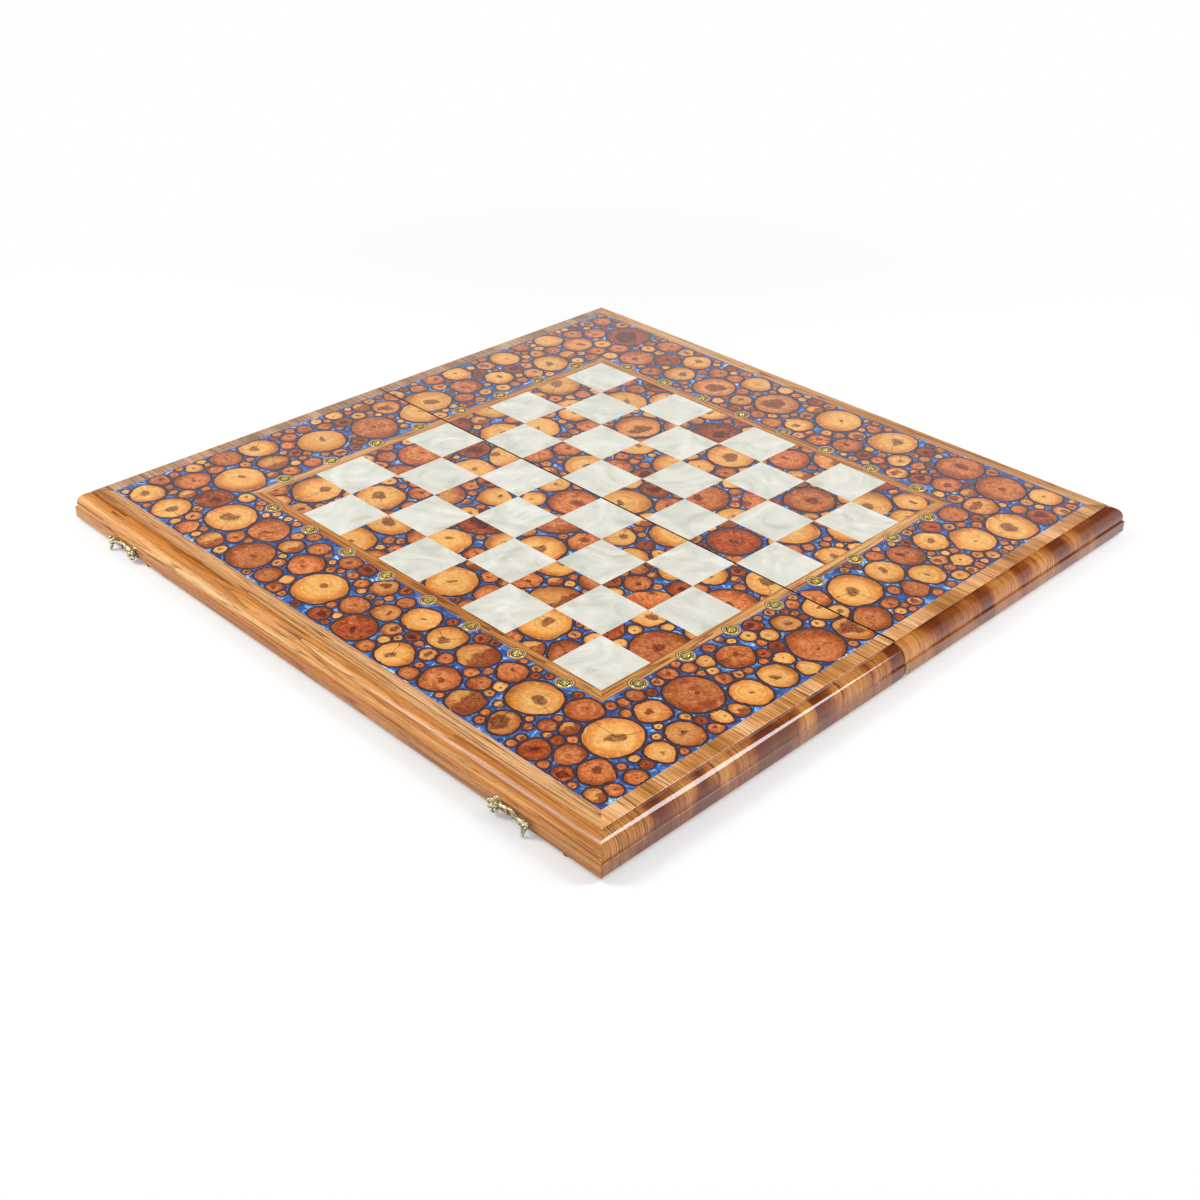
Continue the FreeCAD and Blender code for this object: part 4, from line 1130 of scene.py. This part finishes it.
def add_world():
    """White backdrop low down, dim above that and bright overhead.

    The lacquer then shows little of it near the camera, and more of it far off and to the right.
    """
    world = bpy.data.worlds.new("studio")
    bpy.context.scene.world = world
    world.use_nodes = True
    graph = Graph(world.node_tree)
    place = graph.node("ShaderNodeTexCoord", {}).outputs["Generated"]
    rightward = (math.cos(AZIMUTH), math.sin(AZIMUTH), 0.0)
    side = graph.vector("DOT_PRODUCT", place, rightward, "Value")
    inputs = {0: side, 1: SKY_LEAN, 2: graph.split(place)[2]}
    lean = graph.node("ShaderNodeMath", inputs, operation="MULTIPLY_ADD").outputs[0]
    sky = graph.ramp(lean, SKY_LEVELS, grey)
    graph.feed(graph.tree.nodes["Background"].inputs["Color"], sky)


def add_floor():
    """Pale table that takes the board's shadow and fades to the white backdrop away from it."""
    paint = Paint("floor", Roughness=0.9, Specular_IOR_Level=0.1)
    paint.done(grey(0.95))
    away = paint.vector("LENGTH", paint.spot(), output="Value")
    path = paint.node("ShaderNodeLightPath", {}).outputs
    mirrored = paint.calc("MAXIMUM", path["Is Glossy Ray"], path["Is Transmission Ray"])
    seen = paint.calc("MAXIMUM", path["Is Camera Ray"], mirrored)
    fade = paint.times(paint.span(away, *FLOOR_FADE, *FLOOR_GLOW), seen)
    glow = paint.node("ShaderNodeEmission", {"Color": grey(1.0)})
    blend = paint.node("ShaderNodeMixShader", {0: fade, 1: paint.shader.outputs[0], 2: glow.outputs[0]})
    paint.feed(paint.tree.nodes["Material Output"].inputs["Surface"], blend.outputs[0])
    mesh = bpy.data.meshes.new("floor")
    corners = [(x * FLOOR_REACH, y * FLOOR_REACH, 0) for x, y in ((-1, -1), (1, -1), (1, 1), (-1, 1))]
    mesh.from_pydata(corners, [], [(0, 1, 2, 3)])
    mesh.materials.append(paint.material)
    floor = bpy.data.objects.new("floor", mesh)
    bpy.context.scene.collection.objects.link(floor)


def add_studio():
    add_world()
    add_floor()
    for name, (spot, size, power) in SOFTBOXES.items():
        add_softbox(name, spot, size, power)
    bpy.context.scene.view_settings.view_transform = "Standard"


dress_frame()
# Hook brass with painted shade on its downward faces.
add_fixings(brass("hook_brass", "f4e8c0", "6e5a34", 0.22, underside_shade=0.85))
add_slices()
# Coin brass with painted shade in its recesses.
add_coins(brass("coin_brass", "fff0a4", "d0a038", 0.2, relief=0.25 * MM, recess_shade_height=COIN_RECESS_SHADE_HEIGHT))
add_camera()
add_studio()
